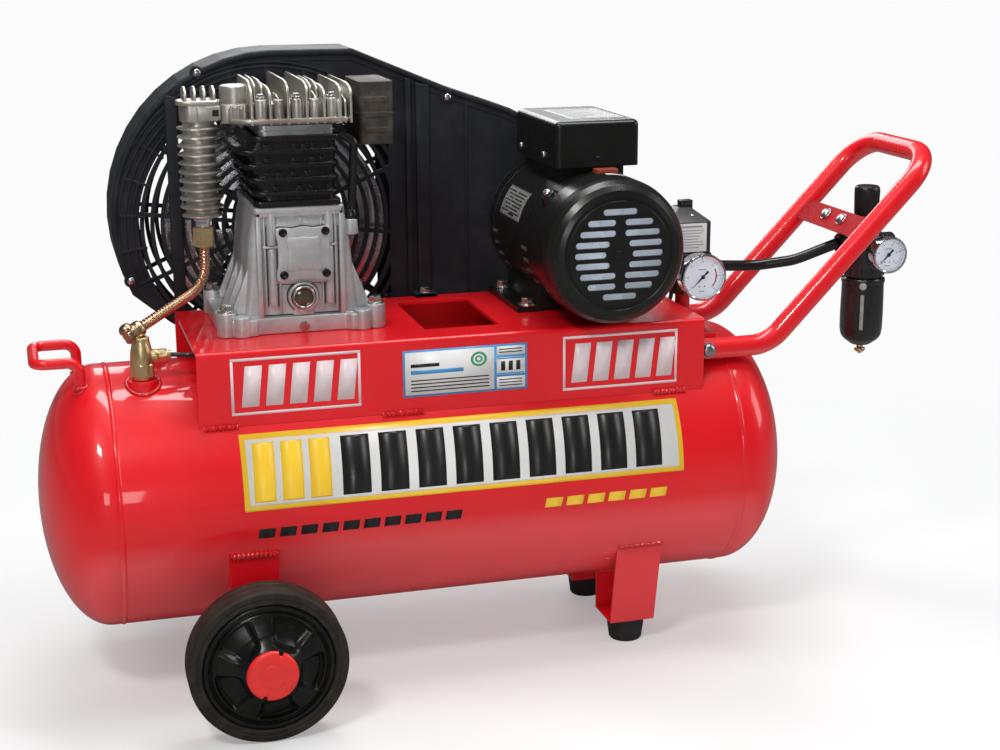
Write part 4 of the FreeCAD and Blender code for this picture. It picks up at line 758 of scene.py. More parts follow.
def build_lights():
    area_light("key", location=(-1.25, -1.5, 2.4), target=(0, 0, 0.3), size=(0.6, 0.35),
               power=34, color=(1.0, 0.985, 0.96))
    area_light("over", location=(0.15, 0.15, 2.3), target=(0, 0, 0.3), size=(2.0, 0.5),
               power=38, color=(0.98, 0.99, 1.0))
    area_light("front", location=(-0.9, -2.9, 0.9), target=(0, 0, 0.3), size=(0.8, 0.5),
               power=9)
    area_light("side", location=(2.4, -0.9, 1.4), target=(0.1, 0, 0.3), size=(0.9, 1.2),
               power=16, color=(1.0, 0.99, 0.97))
    area_light("back", location=(0.3, 2.4, 1.6), target=(0, 0, 0.4), size=(1.6, 0.8),
               power=20)


def build_camera():
    camera = bpy.data.cameras.new("camera")
    camera.sensor_width = 36.0
    camera.lens = 62.342712
    camera.clip_end = 60.0
    holder = bpy.data.objects.new("camera", camera)
    bpy.context.scene.collection.objects.link(holder)
    right = Vector((0.960975, -0.276594, -0.00476))
    up = Vector((0.075445, 0.245487, 0.96646))
    forward = Vector((0.266148, 0.929103, -0.256774))
    pose = Matrix((right, up, -forward)).transposed().to_4x4()
    pose.translation = (-0.545675, -1.94091, 0.860298)
    holder.matrix_world = pose
    scene = bpy.context.scene
    scene.camera = holder
    scene.view_settings.view_transform = "Standard"
    scene.view_settings.look = "None"


build_floor()
build_world()
build_lights()
build_camera()


# ---------------------------------------------------------------- receiver
def tank_profile():
    steps = 26
    angles = [math.pi / 2 * k / steps for k in range(1, steps + 1)]
    head = [(TANK_R * math.sin(a), HEAD_X + DOME * math.cos(a)) for a in angles]
    # rolled joint between shell and head: radius, distance in from the head
    joint = [(TANK_R + rise, -HEAD_X + inward) for rise, inward in (
        (0, 6), (-0.25, 8.0), (0.7, 9.4), (1.0, 10.8), (0.7, 12.2), (-0.25, 13.6), (0, 16))]
    left = [(0.0, -TANK_HALF)] + [(r, -h) for r, h in head] + joint
    right = [(r, -h) for r, h in joint[::-1]] + head[::-1] + [(0.0, TANK_HALF)]
    return left + [(TANK_R, -200), (TANK_R, 0), (TANK_R, 200)] + right


def receiver():
    mesh = lathe(tank_profile(), (0, 0, 0), "x", 160, closed=False)
    for x, y, radius, z0, z1 in BUNGS:
        turn([(8.05, z0), (radius + 1.5, z0), (radius, z0 + 6), (radius, z1), (8.05, z1)],
             1.8, 4, (x, y, 0), "z", 48, mesh)
    turn(drum(-158, -138, 12, bore=6.1), 1.5, 3, (0, 0, 0), "z", 40, mesh)
    add("receiver", mesh, RED, "tank", angle=25)


def tank_top(y, radius=TANK_R):
    """Height of the shell above the axis at y."""
    return math.sqrt(radius * radius - y * y)


def carry_foot_z(x, y):
    return tank_top(y, TANK_R * math.sqrt(1 - ((-x - HEAD_X) / DOME) ** 2)) + 0.4


def receiver_welds():
    mesh = bmesh.new()
    draws = random.Random(3)
    for cx, cy, radius, _, _ in BUNGS:
        bead([(x, y, tank_top(y) + 0.6) for x, y in circle(cx, cy, radius + 1.2, 48, 1)],
             2.3, mesh, draws)
    bead([(x, y, -tank_top(y) - 0.4) for x, y in circle(0, 0, 12.8, 40, 1)], 2.0, mesh, draws)
    # stitches along the platform's skirts
    z = tank_top(PLATFORM_Y) + 0.8
    for side in (-1, 1):
        for x0, x1 in ((-266.0, -228.0), (-66.0, -20.0), (257.0, 297.0)):
            bead([(x0, side * 113.2, z), (x1, side * 113.2, z)], 3.4, mesh, draws,
                 ripple=0.38, pitch=4.8)
    # legs and carry handle
    for side in (-1, 1):
        for x in (-248.0, -194.0):
            bead([(x, side * y, -tank_top(y)) for y in (146, 140, 134, 126, 118, 108)],
                 1.8, mesh, draws)
        bead([(x, side * 146.9, -38.2) for x in (-247, -195)], 3.6, mesh, draws,
             ripple=0.4, pitch=5.0)
        bead([(x, side * 124.2, -84) for x in (212, 268)], 2.8, mesh, draws)
        bead([(x, side * 48, -tank_top(48) - 0.5) for x in (212, 268)], 2.4, mesh, draws)
        foot = circle(CARRY_X, side * CARRY_Y, CARRY_WELD_R, 24, 1)
        bead([(x, y, carry_foot_z(x, y)) for x, y in foot], 1.7, mesh, draws, seg=7)
    add("weld_beads", mesh, WELD, angle=60)


receiver()
receiver_welds()


# ---------------------------------------------------------------- decals
def wrap_quad(mesh, corners, lift, columns=2, rows=28):
    """Quad of four (x, z) corners laid on the front of the shell."""
    corners = [Vector(c) for c in corners]
    grid = []
    for j in range(rows + 1):
        row = []
        for i in range(columns + 1):
            low = corners[0].lerp(corners[1], i / columns)
            high = corners[3].lerp(corners[2], i / columns)
            x, z = low.lerp(high, j / rows)
            angle = math.asin(z / TANK_R)
            row.append(mesh.verts.new((x, -(TANK_R + lift) * math.cos(angle),
                                       (TANK_R + lift) * math.sin(angle))))
        grid.append(row)
    bridge(mesh, grid, closed=False)


def lay_decal(name, mesh, material):
    """Adds a decal's skin, faces it to the front and gives it a thickness."""
    piece = add(name, mesh, material)
    for poly in piece.data.polygons:
        if poly.normal.y > 0:
            poly.flip()
    skin = piece.modifiers.new("thick", "SOLIDIFY")
    skin.thickness = 0.00008
    skin.offset = 1.0


def shell_decal(name, quads, material, lift):
    mesh = bmesh.new()
    for corners in quads:
        wrap_quad(mesh, corners, lift)
    lay_decal(name, mesh, material)


def skirt_decal(name, quads, material, lift):
    """Decal on the platform's front skirt."""
    mesh = bmesh.new()
    for corners in quads:
        mesh.faces.new([mesh.verts.new((x, -PLATFORM_Y - lift, z)) for x, z in corners])
    lay_decal(name, mesh, material)


def bars(count, start, pitch, width, z0, z1, lean=0.0):
    starts = [start + pitch * k for k in range(count)]
    return [rect(x, x + width, z0, z1, lean) for x in starts]


def shell_decals():
    x0, x1, z0, z1 = -229.0, 283.0, 13.0, 92.0
    shell_decal("panel_edge", [rect(x0, x1, z0, z1)], LABEL_YELLOW, 0.20)
    shell_decal("panel_field", [rect(x0 + 6, x1 - 6, z0 + 5.5, z1 - 5.5)], LABEL_WHITE, 0.30)
    shell_decal("panel_gold", bars(3, -218, 31, 24, 22, 83, 2), LABEL_YELLOW, 0.40)
    shell_decal("panel_dark", bars(9, -120, 43, 32, 22, 83, 2), LABEL_BLACK, 0.40)
    shell_decal("strip_dark", bars(10, -216, 23.5, 18, -19, -8, 2), LABEL_BLACK, 0.20)
    shell_decal("strip_gold", bars(6, 113, 25.5, 20, -16, -5, 2), LABEL_YELLOW, 0.20)


def badge(name, x0, x1, z0, z1, first, pitch, edge=3.0):
    """Frame round five slanted bars."""
    frame = [rect(x0, x1, z1 - edge, z1), rect(x0, x1, z0, z0 + edge),
             rect(x0, x0 + edge, z0 + edge, z1 - edge), rect(x1 - edge, x1, z0 + edge, z1 - edge)]
    skirt_decal(name + "_frame", frame, LABEL_PINK, 0.12)
    skirt_decal(name + "_bars", bars(5, first, pitch, 19, z0 + 9, z1 - 9, 5), LABEL_PINK, 0.12)


def skirt_label():
    skirt_decal("label_edge", [rect(-42, 103, 117, 171)], LABEL_BLUE, 0.10)
    skirt_decal("label_field", [rect(-39.5, 64, 119.5, 168.5), rect(67, 100.5, 119.5, 133),
                                rect(67, 100.5, 135.5, 155.5), rect(67, 100.5, 158, 168.5)],
                LABEL_WHITE, 0.18)
    skirt_decal("label_blue", [rect(-33, 28, 143, 147.5), rect(67.6, 100, 135.9, 137.4),
                               rect(67.6, 100, 153.6, 155.1)], LABEL_BLUE, 0.26)
    long_lines = [rect(-33, 58, z, z + 1.4) for z in (123, 127, 131, 135)]
    short_lines = [rect(70, 97, z, z + 1.2) for z in (122, 125.5, 129, 161, 164.5)]
    skirt_decal("label_dark", bars(3, 72, 9, 5, 140, 151) + [rect(-33, 0, 151, 155)] +
                long_lines + short_lines, LABEL_BLACK, 0.26)
    mesh = bmesh.new()
    for radii in ((9.5, 6.5), (4.5, 2.2)):
        rows = [[mesh.verts.new((46 + x, -PLATFORM_Y - 0.26, 156 + z * 0.9))
                 for x, z in circle(0, 0, radius, 32)] for radius in radii]
        bridge(mesh, rows)
    lay_decal("label_rings", mesh, LABEL_GREEN)


shell_decals()
badge("badge_left", -234, -90, 112, 176, first=-223, pitch=26.5)
badge("badge_right", 146, 286, 110, 174, first=156, pitch=26.0)
skirt_label()

# ---------------------------------------------------------------- wheels
# radius and depth in from the outer face: flat tread, two moulding lines, side rings
TYRE_PROFILE = [
    (71.1, 4.0), (71.9, 1.6), (73.0, 0.6), (76.4, 0.6), (77.0, 1.3), (77.8, 1.3), (78.4, 0.6),
    (82.0, 0.7), (84.4, 1.4), (85.9, 3.0), (86.5, 5.2), (86.5, 13.0), (86.0, 13.5),
    (86.0, 14.7), (86.5, 15.2), (86.5, 25.4), (86.0, 25.9), (86.0, 27.1), (86.5, 27.6),
    (86.5, 34.8), (85.9, 37.0), (84.4, 38.6), (82.0, 39.3), (73.0, 39.4), (71.9, 38.4),
    (71.1, 36.0)]
# inner side of the hub and its bore, from the rim inwards: radius, depth
HUB_BACK = [
    (70.9, 37.0), (66, 37.4), (64.5, 36), (63, 24), (58, 18), (44, 8), (24, -4), (18, 0),
    (16, 4), (16, 39), (8.06, 39), (8.06, -15), (12, -16.5), (21.6, -17), (21.6, -19)]
# cap from the centre outwards and back under its rim: radius, depth
CAP_PROFILE = [
    (0, -23.1), (3, -23.2), (6.0, -23.4), (9, -23.7), (12.6, -23.9), (13.6, -23.0),
    (18, -22.7), (23.0, -22.3), (25.6, -21.6), (27.2, -20.4), (27.9, -18.6), (27.9, -16.6),
    (26.6, -15.4), (24.4, -15.2), (21.4, -15.2), (21.4, -5.4), (19.8, -5.4), (19.8, -15.2),
    (0, -15.5)]
HUB_INNER_R, HUB_OUTER_R = 24.0, 70.9


def smoothstep(start, end, value):
    t = max(0.0, min(1.0, (value - start) / (end - start)))
    return t * t * (3 - 2 * t)


def dome_depth(radius):
    """Depth of the hub's outer face, in from the tyre's side."""
    if radius < 42:
        u = (radius - 24) / 18.0
        return -19.6 + 13.4 * (u * u * (3 - 2 * u) * 0.55 + u * 0.45)
    if radius < 61.5:
        u = (radius - 42) / 19.5
        return -6.2 + 8.6 * (u * 0.75 + 0.25 * u * u)
    if radius < 63.5:
        return 2.4 + 2.4 * smoothstep(61.5, 63.2, radius)
    if radius < 66.5:
        return 4.8 - 3.6 * smoothstep(64.2, 66.0, radius)
    return 1.2 + 1.6 * smoothstep(69.0, 71.0, radius)


def hub_face(radius):
    """Depth as a function of the angle, with five rounded recesses between broad webs."""
    def depth(angle):
        across = abs(((angle * 5 / math.tau + 0.1) % 1.0) - 0.5)
        in_sector = 1 - smoothstep(-0.09, 0.045, across - 0.325)
        inner = 30.0 + 9.0 * (across * 2) ** 2
        in_band = (smoothstep(inner - 2.5, inner + 3.0, radius) *
                   (1 - smoothstep(56.0, 60.0, radius)))
        return dome_depth(radius) + 7.6 * in_sector * in_band
    return depth


def hub_mesh(side, at, axis, seg=260, rings=56):
    mesh = bmesh.new()
    rows = []
    for j in range(rings + 1):
        radius = HUB_INNER_R + (HUB_OUTER_R - HUB_INNER_R) * j / rings
        rows.append(ring(mesh, at, axis, radius, hub_face(radius), seg))
    rows += [ring(mesh, at, axis, radius, depth, seg) for radius, depth in HUB_BACK]
    bridge(mesh, rows + rows[:1])
    for k in range(5):
        rib = slab(rect(-1.6, 1.6, 0, 12), 15.5, 64.0, "z", 0.6)
        rib.transform(Matrix.Rotation(math.tau * k / 5 + 0.2, 4, "Y"))
        inward = 22.0 if side < 0 else -34.0
        rib.transform(Matrix.Translation(Vector(at) + Vector((0, inward, 0))))
        merge(mesh, rib)
    return mesh


def cap_radius(radius, depth):
    """Raised hexagon near the centre and two notches in the rim; elsewhere a plain circle."""
    sector = math.pi / 3

    def hexagon(angle):
        flat = math.cos(sector / 2) / math.cos(((angle + 0.2) % sector) - sector / 2)
        return radius * (0.25 + 0.75 * flat) * 1.03

    def notched(angle):
        gaps = [abs((angle - math.radians(place) + math.pi) % math.tau - math.pi) * 26
                for place in (22, 202)]
        return radius - (3.6 if min(gaps) < 2.2 else 0.0)
    if 10 < radius < 14:
        return hexagon
    return notched if radius > 22.5 and depth < -16 else radius


def wheel(side, tag):
    at = (WHEEL_X, side * WHEEL_FACE_Y, WHEEL_Z)
    axis = "y" if side < 0 else "-y"
    body = tag + "_wheel"
    add(tag + "_tyre_rubber", lathe(TYRE_PROFILE, at, axis, 160), TYRE,
        tag + "_tyre", body, angle=26)
    add(tag + "_hub_moulding", hub_mesh(side, at, axis), HUB, tag + "_hub",
        body, angle=50)
    cap = bmesh.new()
    bridge(cap, [ring(cap, at, axis, cap_radius(r, h), h, 144) for r, h in CAP_PROFILE])
    add(tag + "_wheel_cap", cap, RED_CAP, tag + "_hub_cap", body, angle=32)


wheel(-1, "front")
wheel(1, "rear")

# ---------------------------------------------------------------- pump: crankcase
POSTS_X = (-172.5, -108.0)              # paired posts on the front panel
# z, half width, front y, back y of the leaning body
CRANKCASE_SECTIONS = ((200.5, 68, -37, 92), (212, 64.5, -37, 92), (240, 61.5, -37, 92),
                      (284, 58, -37, 92), (306, 54.5, -38, 93), (320, 51, -40, 95),
                      (327.9, 50, -40, 95))
# foot flange: x, y and corner radius
FOOT = ((-234, -30, 6), (-222, -50, 9), (-194, -50, 4), (-190, -44, 3), (-91, -44, 3),
        (-86, -50, 4), (-61, -50, 9), (-49, -30, 6), (-49, 103, 10), (-234, 103, 10))
# waisted bearing cover, about its own centre
COVER = [(-31, -22), (-31, -31), (-20, -31.5), (-12, -29), (12, -29), (20, -31.5), (31, -31),
         (31, -22), (29, -12), (29, 12), (31, 22), (31, 30), (20, 30), (12, 28.5), (2, 30.5),
         (-2, 30.5), (-12, 28.5), (-20, 30), (-31, 30), (-31, 22), (-29, 12), (-29, -12)]


def crankcase_foot(mesh):
    outline = round_poly([(x, y) for x, y, _ in FOOT], [r for _, _, r in FOOT])
    slab(outline, 184.2, 203.0, "z", 1.6, 3, mesh)
    for x, y in PUMP_BOLTS:
        turn(drum(184.2, 211.9, 11.5, 11.0), 1.4, 3, (x, y, 0), "z", 40, mesh)
        beside = (x + (16 if x < PUMP_X else -16), y - (6 if y < 0 else -6), 0)
        turn(drum(184.2, 207, 10.4, 9.9), 1.4, 3, beside, "z", 36, mesh)


def crankcase_body(mesh):
    loft(mesh, [(round_poly(rect(PUMP_X - half, PUMP_X + half, front, back), 9), z)
                for z, half, front, back in CRANKCASE_SECTIONS])
    slab(round_poly(rect(PUMP_X - 52, PUMP_X + 50, -44, 99), 6), 321.0, 327.95, "z", 1.0, 2,
         mesh)


def crankcase_panel(mesh):
    """Front panel: raised frame, posts and ribs, cover seat, sight-glass boss."""
    for outline in (rect(-190, -184.5, 203, 326), rect(-96.5, -91, 203, 326),
                    rect(-190, -91, 317.5, 327.6)):
        slab(outline, -43.5, -36, "y", 1.1, 2, mesh)
    for x in POSTS_X:
        turn(drum(216, 281, 5.0), 1.5, 3, (x, -38.6, 0), "z", 28, mesh)
        turn(drum(285, 321, 5.4), 1.5, 3, (x, -38.6, 0), "z", 28, mesh)
        slab(rect(x - 10, x + 9, 281.5, 284.5), -41.6, -36, "y", 0.8, 2, mesh)
        for rib_x in (x - 8, x + 8):
            slab(rect(rib_x - 1.1, rib_x + 1.1, 206, 318), -40.2, -36, "y", 0.6, 2, mesh)
    slab(rect(-141.5, -138.5, 308, 316), -41.5, -36, "y", 0.7, 2, mesh)
    slab(round_poly(rect(-170.5, -104.5, 240, 309.5), 9), -40.0, -35, "y", 0.9, 2, mesh)
    turn([(13.9, -36), (17.5, -36), (17.0, -44.0), (14.2, -44.0)], 1.0, 3, SIGHT_GLASS, "y",
         48, mesh)
    slab([(-151, 204), (-127, 204), (-130, 214), (-148, 214)], -41.0, -36, "y", 0.8, 2, mesh)


def crankcase():
    mesh = bmesh.new()
    crankcase_foot(mesh)
    crankcase_body(mesh)
    crankcase_panel(mesh)
    # gussets between flange and flanks, then at the back
    for y in (-30.0, 8.0, 46.0, 84.0):
        slab([(-222, 203), (-58, 203), (PUMP_X + 60, 258), (PUMP_X - 60, 258)],
             y - 2.6, y + 2.6, "y", 1.0, 2, mesh)
    for x in (-175.0, -140.0, -105.0):
        slab([(92, 203), (101, 203), (93, 290), (86, 290)], x - 2.6, x + 2.6, "x", 1.0, 2, mesh)
    # rear bearing housing
    turn([(11.0, 88), (34, 88), (33.0, 114.8), (20, 114.8), (18.5, 112), (11.0, 112)], 1.5, 3,
         (PUMP_X, 0, CRANK_Z), "y", 72, mesh)
    add("crankcase_casting", mesh, ALU, "crankcase", angle=40)


def cover_outline(scale):
    return round_poly([(x * scale - 137.5, z * scale + 275) for x, z in COVER], 5, 4)


def bearing_cover():
    mesh = slab(cover_outline(1), -46.9, -40.05, "y", 1.2, 3)
    slab(cover_outline(0.62), -47.5, -46.5, "y", 0.4, 2, mesh)
    add("front_bearing_cover", mesh, ALU, "bearing_cover")
    mesh = bmesh.new()
    for dx in (-24.0, 24.0):
        for dz in (-24.0, 24.0):
            turn([(0, 1.2), (2.2, 1.2), (2.6, 2.6), (4.4, 2.9), (4.8, 2.2), (4.8, -0.6),
                  (0, -0.6)], 0.3, 2, (-137 + dx, -47.0, CRANK_Z + dz), "-y", 28, mesh)
    add("cover_screws", mesh, BLACK_IRON)


def sight_glass():
    mesh = turn([(10.2, -42.6), (10.2, -46.4), (11.5, -47.8), (13.4, -46.6), (13.6, -41.0),
                 (9.0, -41.0), (9.0, -42.6)], 0.6, 3, SIGHT_GLASS, "y", 56)
    add("sight_glass_ring", mesh, STEEL)
    mesh = lathe([(0, -45.6), (4, -45.5), (8, -45.0), (10.1, -44.0), (10.1, -41.5), (0, -41.5)],
                 SIGHT_GLASS, "y", 48)
    add("sight_glass_lens", mesh, OIL, "sight_glass")


def casting_shadow_lines():
    """Painted shade: dark strips where the casting's frame, posts and cover meet the panel."""
    mesh = bmesh.new()
    for edges in ((-184.7, -183.5, 206, 317.5), (-97.5, -96.3, 206, 317.5),
                  (-184.6, -96.4, 316.6, 317.7), (-184.6, -96.4, 204.0, 205.2)):
        slab(rect(*edges), -37.9, -36, mesh=mesh)
    for x in POSTS_X:
        for left in (x - 6.1, x + 5.3):
            slab(rect(left, left + 0.8, 214, 320), -38.1, -36, mesh=mesh)
        for z in (280.6, 284.5):
            slab(rect(x - 9, x + 8, z, z + 0.7), -39.6, -36, mesh=mesh)
    slab(round_poly(rect(-171.5, -103.5, 239, 310.5), 10), -38.3, -35, mesh=mesh)
    slab(cover_outline(1.035), -40.6, -39, mesh=mesh)
    lathe(drum(-38.4, -36, 18.6), SIGHT_GLASS, "y", 56, mesh)
    # painted shade in the joints, not real dirt
    shade_paint = surface("painted_joint_shade", (0.035, 0.033, 0.031), (0.020, 0.019, 0.018),
                    rough=(0.6, 0.75), tone=40.0, fine=700.0, bump=0.1, soft=0.0)
    add("casting_shadow_lines", mesh, shade_paint)


crankcase()
bearing_cover()
sight_glass()
casting_shadow_lines()

# ---------------------------------------------------------------- pump: cylinder block, plate
# z, reach to the left and right of the pump's middle, front y, back y
BLOCK_SECTIONS = ((328.0, 44, 44, -42, 98), (334, 42, 42, -41, 96), (352, 46, 42, -41, 96),
                  (372, 52, 43, -41.5, 97), (392, 56, 44, -42, 98), (400, 52, 44, -42, 98),
                  (407.0, 46, 45, -43, 98))
BLOCK_FINS = ((340.5, 52, 46.5), (356.0, 57, 46.5), (371.5, 62, 46.5), (387.0, 66, 46.8))


def fin_plate(left, right, y0, y1, z0, z1, corner, mesh):
    """Level plate; left and right are measured from the pump's middle."""
    outline = round_poly(rect(PUMP_X - left, PUMP_X + right, y0, y1), corner, 6)
    slab(outline, z0, z1, "z", min(1.3, (z1 - z0) * 0.45), 3, mesh)


def cast_pads(mesh):
    """Uneven lumps on the block's front between the fins."""
    draws = random.Random(8)
    for z in (349.0, 364.5, 380.0, 395.0):
        x = -178.0
        while x < -104:
            width = 3 + draws.random() * 7
            if draws.random() < 0.62:
                outline = [(x, z - 2.6), (x + width, z - 3.2), (x + width, z + 3.0), (x, z + 2.4)]
                slab(round_poly(outline, 1.2), -43.9 - draws.random(), -40, "y", 0.5, 2, mesh)
            x += width + 3 + draws.random() * 6


def cylinder_block():
    mesh = bmesh.new()
    loft(mesh, [(round_poly(rect(PUMP_X - left, PUMP_X + right, front, back), 12), z)
                for z, left, right, front, back in BLOCK_SECTIONS])
    fin_plate(50, 47, -46, 101, 328.05, 335.0, 9, mesh)
    for z, left, right in BLOCK_FINS:
        fin_plate(left, right, -46.4, 101.5, z, z + 5.2, 16, mesh)
    fin_plate(50, 48, -46, 102, 400.5, 407.0, 10, mesh)
    cast_pads(mesh)
    for x in (-180.0, -100.0):
        turn(drum(328, 406.9, 6.0), 0.8, 2, (x, 96.5, 0), "z", 28, mesh)
    add("cylinder_casting", mesh, BLACK_IRON, "cylinder_block", angle=34)


def plate_rim(left, right, outer_y, inner_y, half, z0, z1, bevel, mesh):
    """U-shaped half of a plate, open towards the block's middle."""
    middle_y = 27.5
    rim = [(PUMP_X - left, middle_y), (PUMP_X - left, outer_y), (PUMP_X + right, outer_y),
           (PUMP_X + right, middle_y), (PUMP_X + half, middle_y), (PUMP_X + half, inner_y),
           (PUMP_X - half, inner_y), (PUMP_X - half, middle_y)]
    slab(round_poly(rim, [0, 9, 9, 0, 0, 2, 2, 0]), z0, z1, "z", bevel, 1, mesh)


def valve_plate():
    mesh = slab(round_poly(rect(PUMP_X - 43, PUMP_X + 42, -43, 98), 9), 416.4, 418.4, "z", 0.6)
    for outer_y, inner_y in ((-43, -34.6), (98, 90.6)):
        plate_rim(43, 42, outer_y, inner_y, 31.2, 407.05, 416.6, 0.4, mesh)
    for outer_y, inner_y in ((-44.2, -35.5), (100, 91.5)):
        plate_rim(45, 44, outer_y, inner_y, 32.0, 412.2, 413.0, 0.2, mesh)
    add("valve_plate_stack", mesh, STEEL, "valve_plate")


cylinder_block()
valve_plate()

# ---------------------------------------------------------------- pump: head
HEAD_BOLTS = [(x, y) for x in (-178.5, -139.0, -100.0) for y in (-38.0, 94.5)]
# full-height fins: x, front z, back z, back y, thickness
TALL_FINS = ((-189.0, 456, 466.5, 60, 2.4), (-168.8, 455, 459.5, 30, 2.2),
             (-149.2, 460.5, 466.0, 100, 2.6), (-128.2, 460, 464.8, 100, 2.6),
             (-108.8, 454, 459.0, 60, 2.2), (-91.2, 457.5, 461.6, 90, 2.5),
             (-79.3, 456, 461.0, 90, 2.5))
# thinner fins between them: x, front y, back y, front z
THIN_FINS = ((-180.5, -45.5, 8, 430), (-158.3, -45.5, 8, 445), (-137.6, -45.5, 8, 434),
             (-118.3, -45.5, 8, 448), (-100.0, -45.5, 8, 438), (-85.6, -45.5, 8, 444),
             (-173.6, -18, 60, 459), (-181.6, -18, 60, 461), (-119.5, -18, 70, 458),
             (-112.5, -18, 70, 457), (-148.0, -45.5, 8, 442), (-109.5, -45.5, 8, 442),
             (-93.0, -45.5, 8, 444), (-168.0, -45.5, 8, 442), (-127.5, -45.5, 8, 442))
# tray: x, y and corner radius
TRAY = ((-216, -24, 16), (-197, -46.5, 12), (-84, -46.5, 8), (-78.5, -38, 8), (-78.5, 96, 8),
        (-86, 102, 8), (-196, 102, 10), (-216, 60, 14))
# z and scale of the tray's sections, for its rolled edge
TRAY_SECTIONS = ((418.4, 0.905), (419.2, 0.955), (420.6, 0.985), (422.0, 1.0), (424.5, 1.0),
                 (425.5, 0.99))


def head_fin(x, front, back, z_front, z_back, thick, mesh, corner=11.0):
    """Fin across the head in the y-z plane, rounded at the front."""
    foot = 419.0
    outline = [(front, foot), (back, foot), (back, z_back), (front + 26, z_back),
               (front + 1.0, z_front)]
    slab(round_poly(outline, [0.1, 0.1, 5, 12, corner], 6), x - thick / 2, x + thick / 2, "x",
         min(0.9, thick * 0.4), 2, mesh)


def head_tray(mesh):
    tray = round_poly([(x, y) for x, y, _ in TRAY], [r for _, _, r in TRAY], 6)
    cx, cy = -145.0, 28.0
    loft(mesh, [([(cx + (x - cx) * scale, cy + (y - cy) * scale) for x, y in tray], z)
                for z, scale in TRAY_SECTIONS])


def head_chamber(mesh):
    """Chamber at the left with its round boss."""
    slab(round_poly([(-219.6, -24), (-190, -28), (-190, 44), (-219.6, 38)], 6), 420, 441, "z",
         2.2, 3, mesh)
    turn([(0, 424), (17.0, 424), (16.2, 460), (13.5, 461), (0, 461)], 2.0, 4, (-203, -8, 0),
         "z", 56, mesh)
    slab(round_poly(rect(-212, -196, -30, -20), 2), 424, 437, "z", 1.4, 2, mesh)
    for x in (-209.0, -201.5, -195.0):
        slab(round_poly(rect(-31.5, -22, 421, 440), 1.5), x - 1.1, x + 1.1, "x", 0.6, 2, mesh)


def cylinder_head():
    mesh = bmesh.new()
    head_tray(mesh)
    slab(round_poly(rect(-186, -86, -30, 88), 12), 424, 441, "z", 3, 3, mesh)
    for x, z_front, z_back, back, thick in TALL_FINS:
        head_fin(x, -46, back, z_front, z_back, thick, mesh)
    for x, front, back, z in THIN_FINS:
        head_fin(x, front, back, z, z + 5, 2.0, mesh, corner=6.0)
    for x, y in HEAD_BOLTS:
        turn(drum(420, 447.0, 7.2, 6.8), 1.4, 3, (x, y, 0), "z", 36, mesh)
    for x in (-158.3, -119.0):
        turn(drum(420, 446, 6.4, 6.0), 1.4, 3, (x, -37.0, 0), "z", 32, mesh)
    head_chamber(mesh)
    # inlet flange at the right
    turn(drum(-88, -79.1, 13), 1.0, 3, (0, 20, 442), "x", 40, mesh)
    add("head_casting", mesh, ALU_FIN, "cylinder_head", angle=40)
    mesh = bmesh.new()
    for x, y in HEAD_BOLTS:
        turn(drum(447.0, 449.6, 5.6), 0.6, 2, (x, y, 0), "z", 28, mesh)
        hexbolt((x, y, 449.5), "z", 8.0, 3.0, mesh, washer=False)
    add("head_bolts", mesh, STEEL)


def air_filter():
    mesh = slab(round_poly(rect(-66, -26, -22, 62), 7), 390.5, 461, "z", 4.5, 4)
    for i in range(6):
        y = -13 + i * 12.6
        slab(round_poly(rect(y, y + 5.5, 400, 452), 2.4), -27.0, -25.0, "x", 0.6, 2, mesh)
    for i in range(3):
        z = 404 + i * 17
        slab(round_poly(rect(-60, -33, z, z + 6), 2.0), -22.9, -21.4, "y", 0.5, 2, mesh)
    slab(round_poly(rect(-66.6, -25.4, -22.6, 62.6), 7), 424.5, 426.0, "z", 0.5, 2, mesh)
    turn([(0, -79.8), (12.0, -79.8), (12.0, -77), (9.2, -76), (9.2, -64), (0, -64)], 0.8, 2,
         (0, 20, 442), "x", 36, mesh)
    plastic = surface("filter_plastic", (0.030, 0.024, 0.018), (0.016, 0.014, 0.012),
                      rough=(0.50, 0.66), tone=14.0, bump=0.3, soft=0.0014,
                      wear=(0.10, 0.08, 0.06), dust=((0.16, 0.12, 0.08), 0.5))
    add("air_filter_box", mesh, plastic, "air_filter")


def breather():
    """Elbowed hose from the block down to a boss on the crankcase's shoulder."""
    path = smooth_path([(-91.6, BREATHER_Y, 407), (-74.5, BREATHER_Y, 396),
                        (-79, BREATHER_Y, 318), (-80, BREATHER_Y, 313)], [7.0, 4.0])
    mesh = sweep(path, 4.9, 24)
    turn([(0, 308), (6.6, 308), (6.6, 313), (5.6, 320), (0, 320)], 0.8, 3,
         (-79.8, BREATHER_Y, 0), "z", 28, mesh)
    add("breather_hose", mesh, HOSE, "breather_tube")
    mesh = turn(drum(292, 309.5, 8.8, 7.4), 1.2, 3, (-80.6, BREATHER_Y, 0), "z", 32)
    add("breather_boss", mesh, ALU)


cylinder_head()
air_filter()
breather()


# ---------------------------------------------------------------- aftercooler, check valve
def cooler_profile():
    profile = [(8.0, 315.2), (19, 315.2)]
    for k in range(11):
        z = 316.0 + 9.75 * k
        fin = 24.2 if k else 23.0
        profile += [(fin - 0.9, z), (fin, z + 0.9), (fin, z + 1.5), (fin - 0.9, z + 2.3),
                    (19.2, z + 3.0), (17.6, z + 4.6), (17.6, z + 6.6), (19.4, z + 8.6)]
    return profile + [(19.4, 422.5), (8.0, 422.5)]


